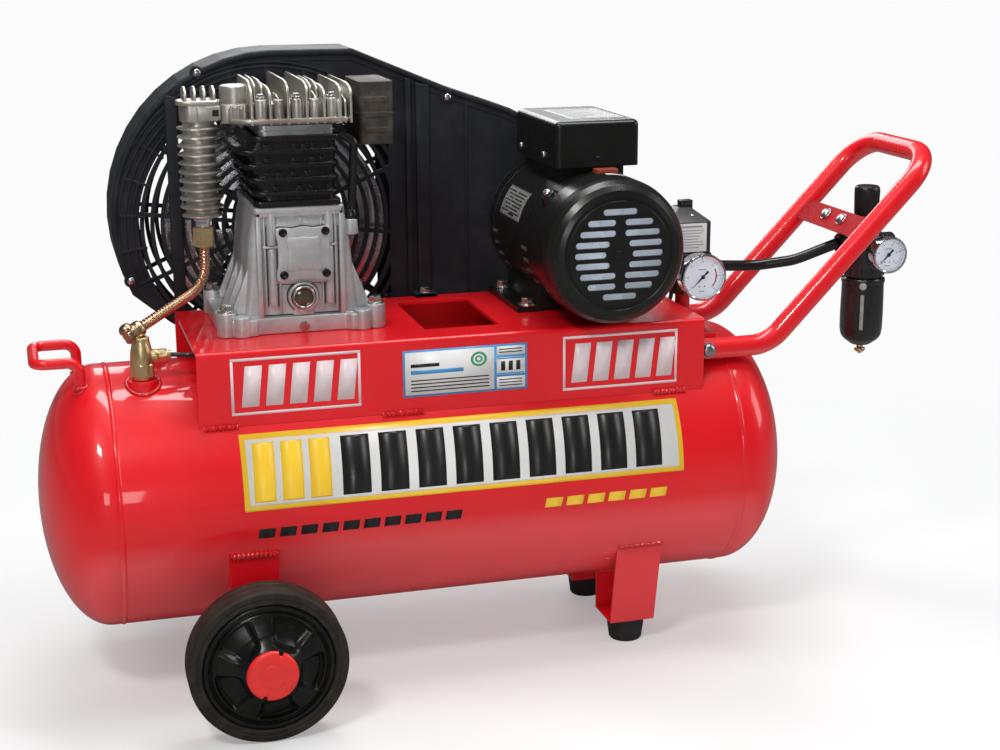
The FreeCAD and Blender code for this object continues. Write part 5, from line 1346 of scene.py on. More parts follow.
def aftercooler():
    mesh = lathe(cooler_profile(), COOLER, "z", 80)
    # head: short body joined to the cylinder head, cap plate, four upright fins
    turn(drum(422, 440, 20.5), 1.4, 3, COOLER, "z", 56, mesh)
    slab(round_poly(rect(-258, -220.2, -20.5, 20), 5), 423.0, 440.0, "z", 1.6, 3, mesh)
    slab(round_poly(rect(-246, -220.1, -22.5, -18), 1.5, 4), 425.0, 439.0, "z", 0.9, 2, mesh)
    cap = [(-267, -14), (-257, -21), (-221, -21), (-220.2, 14), (-226, 20), (-258, 20),
           (-267, 10)]
    slab(round_poly(cap, 7, 6), 440.0, 445.2, "z", 1.8, 3, mesh)
    fin = round_poly([(-18, 443), (18, 443), (18, 456), (2, 460.5), (-10, 459.5), (-18, 451)],
                     [0.1, 0.1, 5, 6, 6, 6])
    for x in (-257.5, -247.0, -236.5, -226.0):
        slab(fin, x - 1.3, x + 1.3, "x", 0.7, 2, mesh)
    add("aftercooler_casting", mesh, ALU_FIN, "aftercooler", angle=36)
    # painted shade: a flat black patch stands in for the slot's dark opening
    mesh = slab(round_poly(rect(-229.5, -222.5, 428.5, 435.5), 0.8), -22.75, -22.3, "y", 0.1, 1)
    add("aftercooler_slot", mesh, LABEL_BLACK)


def delivery_pipe():
    mesh = turn(drum(303, 315, 8.6, bore=6.0), 0.8, 3, COOLER, "z", 40)
    turn(drum(310.5, 315, 10.6, bore=8.0), 0.8, 3, COOLER, "z", 40, mesh)
    add("cooler_nipple", mesh, CHROME)
    mesh = bmesh.new()
    hexbolt((-243, 0, 283.0), "z", 22, 21.0, mesh, washer=False)
    turn(drum(281.0, 284.5, 9.6, bore=5.5), 0.8, 3, COOLER, "z", 36, mesh)
    add("delivery_nut", mesh, BRASS, "tube_nuts", angle=25)
    path = smooth_path([(-243, 0, 288), (-243, 0, 238), DELIVERY_TIP], 38.0, 14)
    mesh = sweep(resample(path, 0.42), lambda d: 5.1 + abs(math.sin(d * math.pi / 3.9)), 28)
    add("delivery_pipe", mesh, COPPER, "discharge_tube", angle=80)


def check_valve():
    mesh = turn([(0, 146.2), (11.4, 146.2), (11.4, 150), (12.6, 152), (12.6, 172), (12.0, 178),
                 (10.2, 186), (9.4, 190), (9.4, 194), (0, 194)], 1.4, 3, (-323, -53, 0), "z", 56)
    hexbolt((-323, -53, 150.5), "z", 24.6, 14.0, mesh, washer=False)
    # side branch to the unloader pipe
    branch = (1, -0.05, 0.02)
    turn([(0, 0), (7.0, 0), (7.0, 9), (6.0, 11), (6.0, 15), (0, 15)], 0.8, 3, (-315, -53, 172),
         branch, 32, mesh)
    hexbolt((-304, -53.5, 172.2), branch, 12.5, 8.5, mesh, washer=False)
    turn(drum(0, 5, 4.6, 4.2), 0.8, 3, (-296, -54, 172.4), branch, 24, mesh)
    add("check_valve_body", mesh, BRASS, "check_valve", angle=30)


def pipe_elbow():
    """Compression elbow that takes the delivery pipe."""
    along = (Vector((-243, 0, 238)) - DELIVERY_TIP).normalized()
    mesh = turn([(0, -15), (7.2, -15), (8.8, -10), (8.8, -2), (9.6, 0), (9.6, 5), (7.4, 8.5),
                 (5.9, 9.5), (0, 9.5)], 1.4, 3, DELIVERY_TIP, along, 40)
    turn([(0, 188), (8.0, 188), (7.4, 196), (7.4, 202), (0, 204)], 1.4, 3, (-331, -53.5, 0),
         "z", 36, mesh)
    turn([(0, 0), (7.6, 0), (8.2, 3), (6.0, 7), (3.0, 8.4), (0, 8.8)], 1.2, 3,
         DELIVERY_TIP - along * 9 + Vector((-3, 0, 4)), (-0.55, -0.1, 0.8), 32, mesh)
    bronze = surface("elbow_bronze", (0.58, 0.44, 0.26), (0.40, 0.29, 0.16),
                     rough=(0.24, 0.40), metal=1.0, tone=70.0, bump=0.2,
                     wear=(0.85, 0.72, 0.45), soft=0.0007)
    add("pipe_elbow", mesh, bronze, angle=34)


def unloader_pipe():
    path = smooth_path([(-293, -54, 172), (-272, -57, 171), (-240, -80, 166), (-60, -95, 163),
                        (240, -95, 163), (300, 20, 168), (330, 20, 176), (330, 20, 231.5)],
                       [12, 30, 40, 40, 40, 12, 8])
    add("unloader_pipe", sweep(path, 2.6, 16), HOSE, "unloader_tube", angle=60)


aftercooler()
delivery_pipe()
check_valve()
pipe_elbow()
unloader_pipe()

# ---------------------------------------------------------------- CAD pieces that stay
# sharp-edge angle in degrees, and the pieces shaded smooth below it
CAD_SMOOTHING = (
    (30, "motor_fan tank_legs belt_guard_front belt_guard_back overload_button"),
    (32, "fan_cover"),
    (34, "motor_frame flywheel platform rubber_feet capacitor_box drive_belt motor_pulley "
         "crankshaft motor_rotor motor_stator ball_bearings piston_1 piston_2 "
         "connecting_rod_1 connecting_rod_2 stub_axles"),
    (40, "push_handle carry_handle"),
)
for sharp_angle, piece_names in CAD_SMOOTHING:
    for piece_name in piece_names.split():
        NODES[piece_name].data.shade_smooth()
        NODES[piece_name].data.set_sharp_from_angle(angle=math.radians(sharp_angle))

# ---------------------------------------------------------------- belt guard
# outline in x and z, clockwise seen from the front: an arc over the pump, then straight runs
GUARD_OUTLINE = [polar(-140, 291, 197, 206 - k * 8.25) for k in range(15)] + [
    (-44, 487.5), (76, 437), (152, 410), (200, 384), (236, 356), (262, 318), (274, 276),
    (266, 236), (248, 206), (222, 188), (150, 176), (60, 156), (-20, 132), (-90, 125),
    (-180, 126), (-232, 140), (-275, 169)]
GRILLE_X, GRILLE_Z = -148, 282
GUARD_Y = 120.0


def offset_loop(points, distance):
    """Closed loop moved sideways: inward for a clockwise loop."""
    out = []
    for i, point in enumerate(points):
        before, here, after = (Vector(points[i - 1]), Vector(point),
                               Vector(points[(i + 1) % len(points)]))
        u, v = (here - before).normalized(), (after - here).normalized()
        first, second = Vector((u.y, -u.x)), Vector((v.y, -v.x))
        mitre = first + second
        mitre = mitre / max(0.35, mitre.dot(first)) if mitre.length > 1e-6 else first
        out.append((here.x + mitre.x * distance, here.y + mitre.y * distance))
    return out


def closed_ridge(inset, half, high, mesh):
    """Low rounded ridge that follows the outline on the guard's face."""
    loop = round_poly(offset_loop(GUARD_OUTLINE, inset), 9, 4)
    profile = ((-half, 0.0), (-half * 0.85, high * 0.7), (-half * 0.45, high),
               (half * 0.45, high), (half * 0.85, high * 0.7), (half, 0.0))
    bridge(mesh, [[mesh.verts.new((x, GUARD_Y - rise, z)) for x, z in offset_loop(loop, offset)]
                  for offset, rise in profile])


def arc_ridge(cx, cz, radius, start, end, y, half, high, mesh):
    """Ridge along an arc from start to end degrees."""
    count = max(6, int(abs(end - start) / 3))
    profile = ((-half, 0.0), (-half * 0.6, high), (half * 0.6, high), (half, 0.0))
    rows = []
    for k in range(count + 1):
        row = []
        for offset, rise in profile:
            x, z = polar(cx, cz, radius + offset, start + (end - start) * k / count)
            row.append(mesh.verts.new((x, y - rise, z)))
        rows.append(row)
    strip(mesh, rows)


def outline_reach(degrees):
    """Distance from the grille's centre to the outline in one direction."""
    dx, dz = polar(0, 0, 1, degrees)
    best = 400.0
    for i, (x1, z1) in enumerate(GUARD_OUTLINE):
        x0, z0 = GUARD_OUTLINE[i - 1]
        edge_x, edge_z = x1 - x0, z1 - z0
        det = edge_x * dz - dx * edge_z
        if abs(det) < 1e-9:
            continue
        from_x, from_z = x0 - GRILLE_X, z0 - GRILLE_Z
        distance = (edge_x * from_z - from_x * edge_z) / det
        along_edge = (dx * from_z - dz * from_x) / det
        if distance > 0 and -1e-6 <= along_edge <= 1 + 1e-6:
            best = min(best, distance)
    return best


def grille_band(mesh):
    """Solid band round the grille, with thin radial ribs."""
    rows = []
    for k in range(101):
        angle = 44 + 182 * k / 100.0
        outer = min(189.5, outline_reach(angle) - 7.0)
        row = []
        for radius, y in ((157.5, 120.6), (157.5, 119.3), (158.3, 118.9), (outer, 118.9),
                          (outer + 0.4, 119.6)):
            x, z = polar(GRILLE_X, GRILLE_Z, radius, angle)
            row.append(mesh.verts.new((x, y, z)))
        rows.append(row)
    strip(mesh, rows)
    for angle in range(48, 222, 14):
        outer = min(189.0, outline_reach(angle) - 8.0)
        rib = turned(rect(150, outer, -1.5, 1.5), GRILLE_X, GRILLE_Z, angle)
        slab(rib, 117.6, 120.2, "y", 0.5, 1, mesh)


def guard_trim():
    mesh = bmesh.new()
    closed_ridge(3.6, 3.4, 3.0, mesh)
    closed_ridge(12.5, 1.1, 1.0, mesh)
    for radius, start, end in ((192.5, 62, 146), (187.2, 60, 148), (180.6, 96, 206),
                               (173.0, 98, 210), (164.5, 100, 214)):
        arc_ridge(GRILLE_X, GRILLE_Z, radius, start, end, 119.0, 1.2, 1.5, mesh)
    grille_band(mesh)
    # uprights: x0, x1, z0, z1, front y
    for x0, x1, z0, z1, y in ((-268.6, -254.4, 166, 440, 114.2), (18.5, 25.5, 160, 452, 115.0),
                              (31.5, 48.5, 160, 445, 115.4), (94, 97, 182, 424, 118.4)):
        slab([(x0, z0), (x1, z0), (x1, z1 - 3), (x0, z1)], y, 120.3, "y", 1.6, 3, mesh)
    for x, z in GUARD_SCREWS:
        turn([(0, 0), (8.4, 0), (7.2, 2.6), (5.4, 2.6), (5.0, 1.6), (0, 1.6)], 0.6, 2,
             (x, 120.2, z), "-y", 36, mesh)
    # foot tab, and the ring round the crank opening
    slab(round_poly(rect(23, 51, 97, 119), 2), 184.3, 188.6, "z", 0.8, 2, mesh)
    arc_ridge(PUMP_X, CRANK_Z, 40, 0, 360, GUARD_Y, 2.4, 2.0, mesh)
    add("guard_trim", mesh, GUARD, angle=40)


guard_trim()


# ---------------------------------------------------------------- motor details
def on_motor(y, degrees, radius):
    x, z = polar(MOTOR_X, MOTOR_Z, radius, degrees)
    return Vector((x, y, z))


def wrap_patch(mesh, y0, y1, start, end, radius, thick, count=14):
    """Thin plate bent round the motor, from start to end degrees."""
    top, bottom = [], []
    for k in range(count + 1):
        angle = start + (end - start) * k / count
        for side, reach in ((top, radius + thick), (bottom, radius - 0.3)):
            side.append([mesh.verts.new(on_motor(y, angle, reach)) for y in (y0, y1)])
    for k in range(count):
        a, b, c, d = top[k], top[k + 1], bottom[k], bottom[k + 1]
        mesh.faces.new((a[0], b[0], b[1], a[1]))
        mesh.faces.new((c[0], c[1], d[1], d[0]))
        mesh.faces.new((a[0], c[0], d[0], b[0]))
        mesh.faces.new((a[1], b[1], d[1], c[1]))
    for k in (0, count):
        mesh.faces.new((top[k][0], top[k][1], bottom[k][1], bottom[k][0]))


def motor_nameplate():
    mesh = bmesh.new()
    wrap_patch(mesh, -9.5, 66.5, 140.4, 167.4, MOTOR_R + 0.1, 0.4)
    add("motor_nameplate", mesh, PLATE)
    mesh = bmesh.new()
    face = MOTOR_R + 0.52
    for k in range(7):
        angle = 144.0 + k * 3.0
        for y0, y1 in ((-5 + (k % 3) * 4, 30 + (k % 2) * 8), (36 + (k % 2) * 5, 62 - (k % 3) * 5)):
            wrap_patch(mesh, y0, y1, angle, angle + 1.0, face, 0.25, 3)
    for angle in (140.6, 166.6):
        wrap_patch(mesh, -9, 66, angle, angle + 0.35, face, 0.2, 3)
    wrap_patch(mesh, 14, 34, 163.3, 165.0, face, 0.25, 3)
    add("nameplate_marks", mesh, LABEL_BLACK)


def louvre(mesh, middle_y, angle):
    """One hooded slot, 21 mm long, humped in the middle."""
    rows = []
    base = MOTOR_R + 0.1
    for j in range(9):
        u = j / 8.0
        y = middle_y - 10.5 + 21 * u
        rise = 2.4 * math.sin(math.pi * u) ** 0.6
        rows.append([mesh.verts.new(on_motor(y, angle + turn_by, base + lift)) for turn_by, lift
                     in ((-1.9, 0), (-0.4, rise), (0.9, rise * 0.75), (2.0, 0))])
    strip(mesh, rows)


def motor_louvres():
    """Two columns of louvres on each flank, their lips painted paler as glints."""
    mesh = bmesh.new()
    for flank in (-1, 1):
        for y in (82.0, -38.0):
            for k in range(4):
                angle = -174.5 + k * 10.5
                louvre(mesh, y, angle if flank < 0 else 180 - angle)
    # painted highlight: the lips are a paler grey than the black frame, standing in for glints
    glint_paint = surface("louvre_painted_glint", (0.15, 0.15, 0.14), (0.06, 0.06, 0.055), rough=(0.28, 0.4),
                  metal=0.5, tone=40.0, bump=0.12, soft=0.0006)
    add("motor_louvres", mesh, glint_paint, angle=40)


def motor_trim():
    mesh = bmesh.new()
    for y in (109.0, 88.0, -82.5):
        turn(drum(-1.2, 1.2, MOTOR_R + 0.7, bore=MOTOR_R - 1), 0.6, 2, (MOTOR_X, y, MOTOR_Z),
             "y", 128, mesh)
    # through-bolt heads at the pulley end
    for angle in (45, 135, 225, 315):
        hexbolt(on_motor(111.8, angle, 62), "y", 8, 4.5, mesh)
    add("motor_trim", mesh, BLACK, angle=40)


def motor_gland():
    """Cable gland with a bright top."""
    foot = on_motor(-72, 136.5, MOTOR_R - 1)
    lean = math.radians(128)
    axis = Vector((math.cos(lean), -0.25, math.sin(lean)))
    mesh = turn([(0, 0), (12.0, 0), (11.0, 4), (8.4, 7.0), (8.0, 9.5), (0, 9.5)], 1.6, 3,
                foot, axis, 40)
    add("motor_gland", mesh, BLACK)
    mesh = turn([(0, 0), (5.2, 0), (4.8, 2.6), (2.6, 3.6), (0, 3.6)], 0.8, 3,
                foot + axis.normalized() * 9.3, axis, 28)
    add("motor_gland_screw", mesh, STEEL)


def cowl_details():
    """Square plug in the middle of the grille, sticker on top."""
    plug = rect(MOTOR_X - 6, MOTOR_X + 2, MOTOR_Z - 4, MOTOR_Z + 4)
    add("cowl_plug", slab(round_poly(plug, 1.2), -148.9, -147.6, "y", 0.5), BLACK)
    mesh = bmesh.new()
    wrap_patch(mesh, -104, -96, 76.5, 90.5, 83.5, 0.3, 8)
    add("cowl_sticker", mesh, LABEL_WHITE)


def capacitor_box_details():
    """Notice on the box's lid and a screw in its front."""
    notice = [(177.0, 66.0), (243.5, 66.0), (245.5, -34.0), (179.0, -34.0)]
    mesh = slab(round_poly(notice, 2.0), 411.9, 412.35, "z", 0.1, 1)
    add("box_notice", mesh, LABEL_GREY)
    mesh = bmesh.new()
    for k in range(9):
        y = 58 - k * 10.5
        right = 232 - (k * 37 % 5) * 7
        slab(rect(185, right, y, y - 2.2), 412.3, 412.55, "z", mesh=mesh)
    lines = surface("notice_print", (0.20, 0.205, 0.215), (0.16, 0.165, 0.17),
                    rough=(0.4, 0.5), soft=0.0)
    add("box_notice_lines", mesh, lines)
    add("box_front_screw", panhead((205, -58.0, 369.0), "-y", 2.6, 1.4), BLACK)


def supply_cable():
    """Cable from under the switch to the motor's lower right flank."""
    path = smooth_path([(334, 40, 236), (334, 44, 214), (318, 48, 194), (292, 40, 190.5),
                        (276, 30, 205), (268, 26, 226)], [10, 14, 14, 12], 6)
    mesh = sweep(path, 3.6, 18)
    turn([(0, 0), (7.5, 0), (7.5, 6), (5, 10), (0, 10)], 1.0, 3, (334, 40, 232.5), "-z", 28,
         mesh)
    turn([(0, 0), (7.5, 0), (7.5, 6), (5, 12), (0, 12)], 1.0, 3,
         on_motor(26, -34, MOTOR_R - 1), (0.6, 0, -0.9), 28, mesh)
    add("supply_cable", mesh, HOSE, angle=50)


motor_nameplate()
motor_louvres()
motor_trim()
motor_gland()
cowl_details()
capacitor_box_details()
supply_cable()

# ---------------------------------------------------------------- pressure switch
# cover sections: inset from the sides in x, in y, and z; the top four make the hipped roof
COVER_SECTIONS = ((0.6, 0.6, 238.5), (0, 0, 239.7), (0, 0, 276.5), (0.9, 0.9, 277.8),
                  (17.0, 22.0, 291.2), (18.0, 23.0, 291.8))
# left and right x of the label's lines, from the top down
LABEL_LINES = ((328, 363), (330, 361), (333, 358), (336, 356), (330, 362), (327, 364),
               (334, 357))


def switch_cover():
    mesh = bmesh.new()
    loft(mesh, [(round_poly(rect(321.2 + dx, 373.0 - dx, 0.2 + dy, 70.0 - dy), 3.0, 4), z)
                for dx, dy, z in COVER_SECTIONS])
    slab(round_poly(rect(319.6, 374.4, -0.6, 70.8), 3.0, 4), 232.2, 238.2, "z", 0.9, 2, mesh)
    for z in (246.0, 253.0, 260.0):
        slab(rect(12, 58, z, z + 2.6), 372.6, 373.6, "x", 0.4, 1, mesh)
    plastic = surface("switch_plastic", (0.034, 0.034, 0.032), (0.024, 0.024, 0.023),
                      rough=(0.30, 0.42), fine=1100.0, bump=0.28, soft=0.0009,
                      wear=(0.10, 0.10, 0.10), wear_amount=0.4)
    add("switch_cover", mesh, plastic, "pressure_switch", angle=24)


def switch_label():
    mesh = slab(round_poly(rect(324.6, 367.0, 240.5, 275.6), 1.0, 3), -0.25, 0.35, "y", 0.1, 1)
    add("switch_label", mesh, LABEL_WHITE)
    mesh = slab(rect(331, 361, 270.6, 272.8), -0.45, -0.2, mesh=bmesh.new())
    for k, (left, right) in enumerate(LABEL_LINES):
        z = 266.4 - k * 3.5
        slab(rect(left, right, z, z + 1.0), -0.40, -0.2, mesh=mesh)
    lines = surface("label_print", (0.30, 0.29, 0.33), (0.24, 0.23, 0.27), rough=(0.4, 0.5),
                    soft=0.0)
    add("switch_label_lines", mesh, lines)


def switch_button():
    mesh = slab(round_poly(rect(342.6, 359.4, 26.6, 39.4), 2.6, 4), 281.0, 299.8, "z", 1.8, 3)
    slab(round_poly(rect(340.8, 361.2, 24.8, 41.2), 2.6, 4), 279.6, 283.8, "z", 0.8, 2, mesh)
    for k in range(4):
        x = 344.5 + k * 3.8
        slab(rect(x, x + 1.5, 285, 297), 26.0, 26.8, "y", 0.3, 1, mesh)
    add("switch_button", mesh, PLASTIC, "switch_knob", "switch_knob")
    add("switch_cover_screw", panhead((352, 11.0, 284.0), (0, -0.536, 0.844), 2.3, 1.2), STEEL)


switch_cover()
switch_label()
switch_button()


# ---------------------------------------------------------------- manifold
def manifold():
    riser_at = (349, 30, 0)
    mesh = turn([(0, 158.4), (15.6, 158.4), (15.6, 160.5), (9.2, 162.5), (9.2, 184), (0, 184)],
                1.0, 3, riser_at, "z", 48)
    add("riser", mesh, RED)
    mesh = bmesh.new()
    hexbolt((349, 30, 184.0), "z", 26.5, 17.5, mesh, washer=False)
    turn([(0, 198), (14.6, 198), (15.4, 204), (15.4, 226), (12.0, 229.0), (12.0, 232.1),
          (0, 232.1)], 1.2, 3, riser_at, "z", 48, mesh)
    # front, back and right branches
    turn([(0, 0), (9.6, 0), (9.6, 12), (8.4, 14), (8.4, 22.0), (0, 22.0)], 0.9, 3,
         (349, 20, 216), "-y", 36, mesh)
    hexbolt((349, 6.5, 216), "-y", 15.5, 7.5, mesh, washer=False)
    turn([(0, 0), (9.4, 0), (9.4, 12), (8.0, 15), (0, 15)], 0.9, 3, (349, 38, 216), "y", 36,
         mesh)
    turn([(0, 0), (9.0, 0), (9.0, 10), (8.2, 12), (8.2, 24), (0, 24)], 0.8, 3, (358, 30, 216),
         "x", 36, mesh)
    hexbolt((373, 30, 216), "x", 19.0, 9.0, mesh, washer=False)
    brass = surface("dull_brass", (0.40, 0.27, 0.11), (0.24, 0.16, 0.07), rough=(0.28, 0.46),
                    metal=1.0, tone=50.0, bump=0.2, soft=0.0007, wear=(0.75, 0.58, 0.28))
    add("manifold_body", mesh, brass, "manifold", angle=30)


def safety_valve():
    """Valve behind the manifold, with its pull ring."""
    at = (349, 0, 216)
    mesh = turn([(0, 47.2), (5.4, 47.2), (5.4, 55.5), (9.4, 56), (9.4, 70.5), (8.6, 71),
                 (8.6, 73), (6.6, 75), (2.1, 75), (2.1, 74), (0, 74)], 0.7, 3, at, "y", 44)
    hexbolt((349, 55.8, 216), "y", 17.0, 8.2, mesh, washer=False)
    for k in range(6):
        x, z = polar(0, 0, 1, 60 * k)
        lathe(drum(-0.3, 0.3, 1.3), (349 + 9.4 * x, 67.5, 216 + 9.4 * z), (x, 0, z), 12, mesh)
    add("relief_valve", mesh, BRASS, "safety_valve", angle=30)
    mesh = turn([(0, 64), (1.9, 64), (1.9, 83.5), (2.4, 84.5), (0, 84.5)], 0.3, 2, at, "y", 24)
    loop = [Vector((349, y, z)) for y, z in circle(92.5, 216, 9.0, 40, 1)]
    sweep(loop, 1.25, 12, mesh, caps=False)
    add("relief_ring", mesh, ZINC, "safety_ring", "safety_ring", angle=50)


manifold()
safety_valve()


# ---------------------------------------------------------------- gauges
def gauge_case(tag, x, z, radius, front, back, stem):
    """Case, bezel and the stem behind them; depths run forward from the stem's y."""
    rear, face = stem - back, stem - front
    profile = [(0, rear - 0.2), (radius - 6, rear), (radius - 2.4, rear + 2.2),
               (radius - 1.8, rear + 5), (radius - 1.8, face - 8.0), (radius - 0.8, face - 7.2),
               (radius - 0.1, face - 5.5), (radius, face - 2.4), (radius - 0.9, face - 0.3),
               (radius - 2.2, face), (radius - 3.2, face - 0.8), (radius - 3.5, face - 3.4),
               (radius - 3.5, face - 8.6), (0, face - 8.6)]
    mesh = lathe(profile, (x, stem, z), "-y", 112)
    turn(drum(0, rear + 1, 4.9), 0.4, 2, (x, stem, z), "-y", 24, mesh)
    add(tag + "_case", mesh, CHROME, tag, angle=34)


def gauge_scale(tag, x, z, radius, dial_y, marks):
    """Printed scale: ticks with stand-in figures, an arc line, two dots and two bars."""
    mesh = bmesh.new()
    top = dial_y - 0.5
    edge = radius - 5.0

    def tick(degrees, inner, outer, half):
        slab(turned(rect(inner, outer, -half, half), x, z, degrees), top - 0.18, top, mesh=mesh)
    for k in range(marks * 5 + 1):
        degrees = 225 - 270.0 * k / (marks * 5)
        if k % 5:
            tick(degrees, edge - 1.6, edge, 0.11)
            continue
        tick(degrees, edge - 3.0, edge, 0.22)
        cx, cz = polar(x, z, edge - 5.4, degrees)
        for dx in (-0.75, 0.75):
            slab(rect(cx + dx - 0.22, cx + dx + 0.22, cz - 0.95, cz + 0.95), top - 0.18, top,
                 mesh=mesh)
    for k in range(60):
        tick(225 - 270.0 * k / 60 - 2.25, edge - 0.16, edge + 0.05, edge * math.radians(2.4))
    for dx in (-3.4, 3.2):
        slab(circle(x + dx, z - radius * 0.42, 0.85, 12), top - 0.18, top, mesh=mesh)
    for half, dz in ((5.0, radius * 0.30), (3.4, -radius * 0.62)):
        slab(rect(x - half, x + half, z + dz - 0.35, z + dz + 0.35), top - 0.16, top, mesh=mesh)
    add(tag + "_scale", mesh, INK, smooth=False)


def gauge_red_arc(tag, x, z, radius, y, start, end, count=18):
    mesh = bmesh.new()
    rows = []
    for k in range(count + 1):
        points = [polar(x, z, reach, start + (end - start) * k / count)
                  for reach in (radius * 0.60, radius * 0.66)]
        rows.append([mesh.verts.new((px, y, pz)) for px, pz in points])
    strip(mesh, rows)
    add(tag + "_red_arc", mesh, INK_RED, smooth=False)


def gauge_pointer(tag, x, z, y, length, body):
    """Pointer at the zero mark, with a counterweight."""
    half = [(-length * 0.52, -1.35), (-length * 0.42, -1.5), (-2.2, -0.75), (2.6, -1.15),
            (length, -0.18)]
    outline = half + [(p, -q) for p, q in half[::-1]]
    mesh = slab(turned(outline, x, z, 225), y - 0.4, y + 0.2, "y", 0.12, 1, bmesh.new())
    turn([(0, -1.7), (1.1, -1.7), (1.1, -0.3), (2.5, -0.3), (2.5, 0.9), (0, 1.0)], 0.3, 2,
         (x, y, z), "-y", 24, mesh)
    add(tag + "_pointer", mesh, INK, tag + "_needle", body)


def gauge(tag, x, z, radius, front, back, stem, length, body, marks, red_arc=None):
    """Round gauge facing the front; front, back and stem are y values."""
    gauge_case(tag, x, z, radius, front, back, stem)
    dial_y = front + 8.4
    add(tag + "_dial", lathe(drum(0, 0.5, radius - 3.6), (x, dial_y, z), "-y", 96), DIAL)
    gauge_scale(tag, x, z, radius, dial_y, marks)
    if red_arc:
        gauge_red_arc(tag, x, z, radius, dial_y - 0.72, *red_arc)
    gauge_pointer(tag, x, z, front + 5.0, length, body)
    mesh = lathe([(0, 2.2), (radius * 0.5, 2.05), (radius - 3.45, 1.5), (radius - 3.45, 0.7),
                  (0, 1.3)], (x, front + 3.4, z), "-y", 80)
    add(tag + "_lens", mesh, GLASS)


gauge("tank_gauge", x=349.0, z=216.0, radius=29.0, front=-40.0, back=-14.0, stem=-2.1,
      length=18.0, body="tank_needle", marks=6, red_arc=(28, -42))
gauge("regulator_gauge", x=REGULATOR_X, z=235.0, radius=23.0, front=-68.0, back=-46.0,
      stem=-22.0, length=16.0, body="regulator_needle", marks=5)


# ---------------------------------------------------------------- hose and filter regulator
def delivery_hose():
    path = smooth_path([(382.6, 30, 216), (445, 30, 212), (492, 14, 219.5),
                        (543.5, 0.4, 240.5)], 90.0, 16)
    add("delivery_hose", sweep(resample(path, 2.5), 6.7, 28), HOSE, "air_hose",
        angle=50)
    mesh = turn([(6.8, 0), (8.8, 0), (8.8, 12), (7.6, 13.5), (6.8, 13.5)], 0.7, 3,
                (383.2, 30, 216), (1, 0, -0.05), 36)
    hexbolt((380.5, 30, 216), (1, 0, -0.03), 16.5, 6.0, mesh, washer=False)
    add("hose_fitting", mesh, BRASS)


delivery_hose()
REGULATOR_BLACK = surface("regulator_black", (0.016, 0.016, 0.017), (0.010, 0.010, 0.011),
                          rough=(0.20, 0.34), coat=0.25, coat_rough=0.2, tone=16.0,
                          fine=1000.0, bump=0.22, soft=0.0010, wear=(0.11, 0.11, 0.11))
# knob: radius, height and depth of flutes
KNOB_PROFILE = ((11.1, 275.2, 0), (14.2, 275.2, 0), (15.0, 277.0, 0.5), (15.0, 283.0, 1),
                (15.3, 296.0, 1), (15.6, 304.0, 1), (15.6, 307.5, 0.4), (15.0, 309.8, 0),
                (13.4, 311.4, 0), (12.2, 311.0, 0), (0, 310.4, 0))


def regulator_body():
    x = REGULATOR_X
    mesh = turn([(0, 196.2), (23.2, 196.2), (24.6, 199), (24.6, 211), (25.4, 214), (25.4, 245),
                 (23.0, 250), (19.0, 253.5), (18.2, 265.9), (14.4, 266.5), (14.2, 275),
                 (11, 275), (11, 286), (0, 286)], 1.4, 3, REGULATOR, "z", 72)
    # square shoulders with the ports
    slab(round_poly(rect(x - 26, x + 26, -15, 15), 5), 224.5, 251.0, "z", 2.4, 3, mesh)
    for side, z, axis in ((1, 238.0, "x"), (-1, 240.0, "-x")):
        turn([(6.0, 0), (13.2, 0), (13.2, 13.5), (12.0, 15.5), (7.0, 15.5), (6.0, 14.0)],
             1.0, 3, (x + side * 22.5, 0, z), axis, 44, mesh)
    turn(drum(8, 20.5, 9.0), 0.8, 3, (x, 0, 235), "-y", 36, mesh)
    for rib_x, rib_y in circle(x, 0, 24.3, 12):
        turn(drum(198.5, 211, 1.7), 0.5, 2, (rib_x, rib_y, 0), "z", 12, mesh)
    add("regulator_casting", mesh, REGULATOR_BLACK, "regulator_body", angle=34)
    mesh = lathe([(6.1, 0), (6.9, 0), (6.9, 12), (6.1, 12)], (x + 26.6, 0, 238), "x", 32)
    for k in range(5):
        lathe([(5.9, 0), (6.3, 0.6), (5.9, 1.2)], (x + 27.5 + k * 2.2, 0, 238), "x", 32, mesh)
    add("outlet_thread", mesh, BRASS)


def regulator_bracket():
    """Level plate under the bonnet nut, and a flange bent along the handle's cross plate."""
    outline = [(536, -36), (550, -36), (560, -19), (602, -19), (602, 19), (560, 19), (550, 22),
               (536, 22)]
    mesh = slab(round_poly(outline, [3, 6, 8, 9, 9, 8, 6, 3]), 266.2, 269.1, "z", 0.7)
    corner = Vector((527.4, 0, 264.6)) - PLATE_NORMAL * 2.9
    low, high = [], []
    for along, y in ((1, -37), (23, -37), (23, 23), (1, 23)):
        foot = corner + PLATE_ALONG * along + Vector((0, y, 0))
        low.append(mesh.verts.new(foot))
        high.append(mesh.verts.new(foot + PLATE_NORMAL * 2.7))
    mesh.faces.new(low[::-1])
    mesh.faces.new(high)
    bridge(mesh, [low, high])
    turn([(14.6, 269.2), (19.5, 269.2), (19.0, 274.0), (14.6, 274.0)], 0.8, 2, REGULATOR, "z",
         24, mesh)
    add("regulator_bracket", mesh, PLASTIC)


def fluted(radius, flute):
    return lambda angle: radius + 0.32 * flute * math.cos(36 * angle)


def adjusting_knob():
    """Knob slightly wider at the top, with fine flutes."""
    mesh = bmesh.new()
    rows = [ring(mesh, REGULATOR, "z", fluted(radius, flute) if flute else radius, z, 144)
            for radius, z, flute in KNOB_PROFILE]
    bridge(mesh, rows)
    mesh.faces.new(rows[0][::-1])
    add("adjusting_knob", mesh, PLASTIC, "regulator_knob", "regulator_knob",
        angle=50)


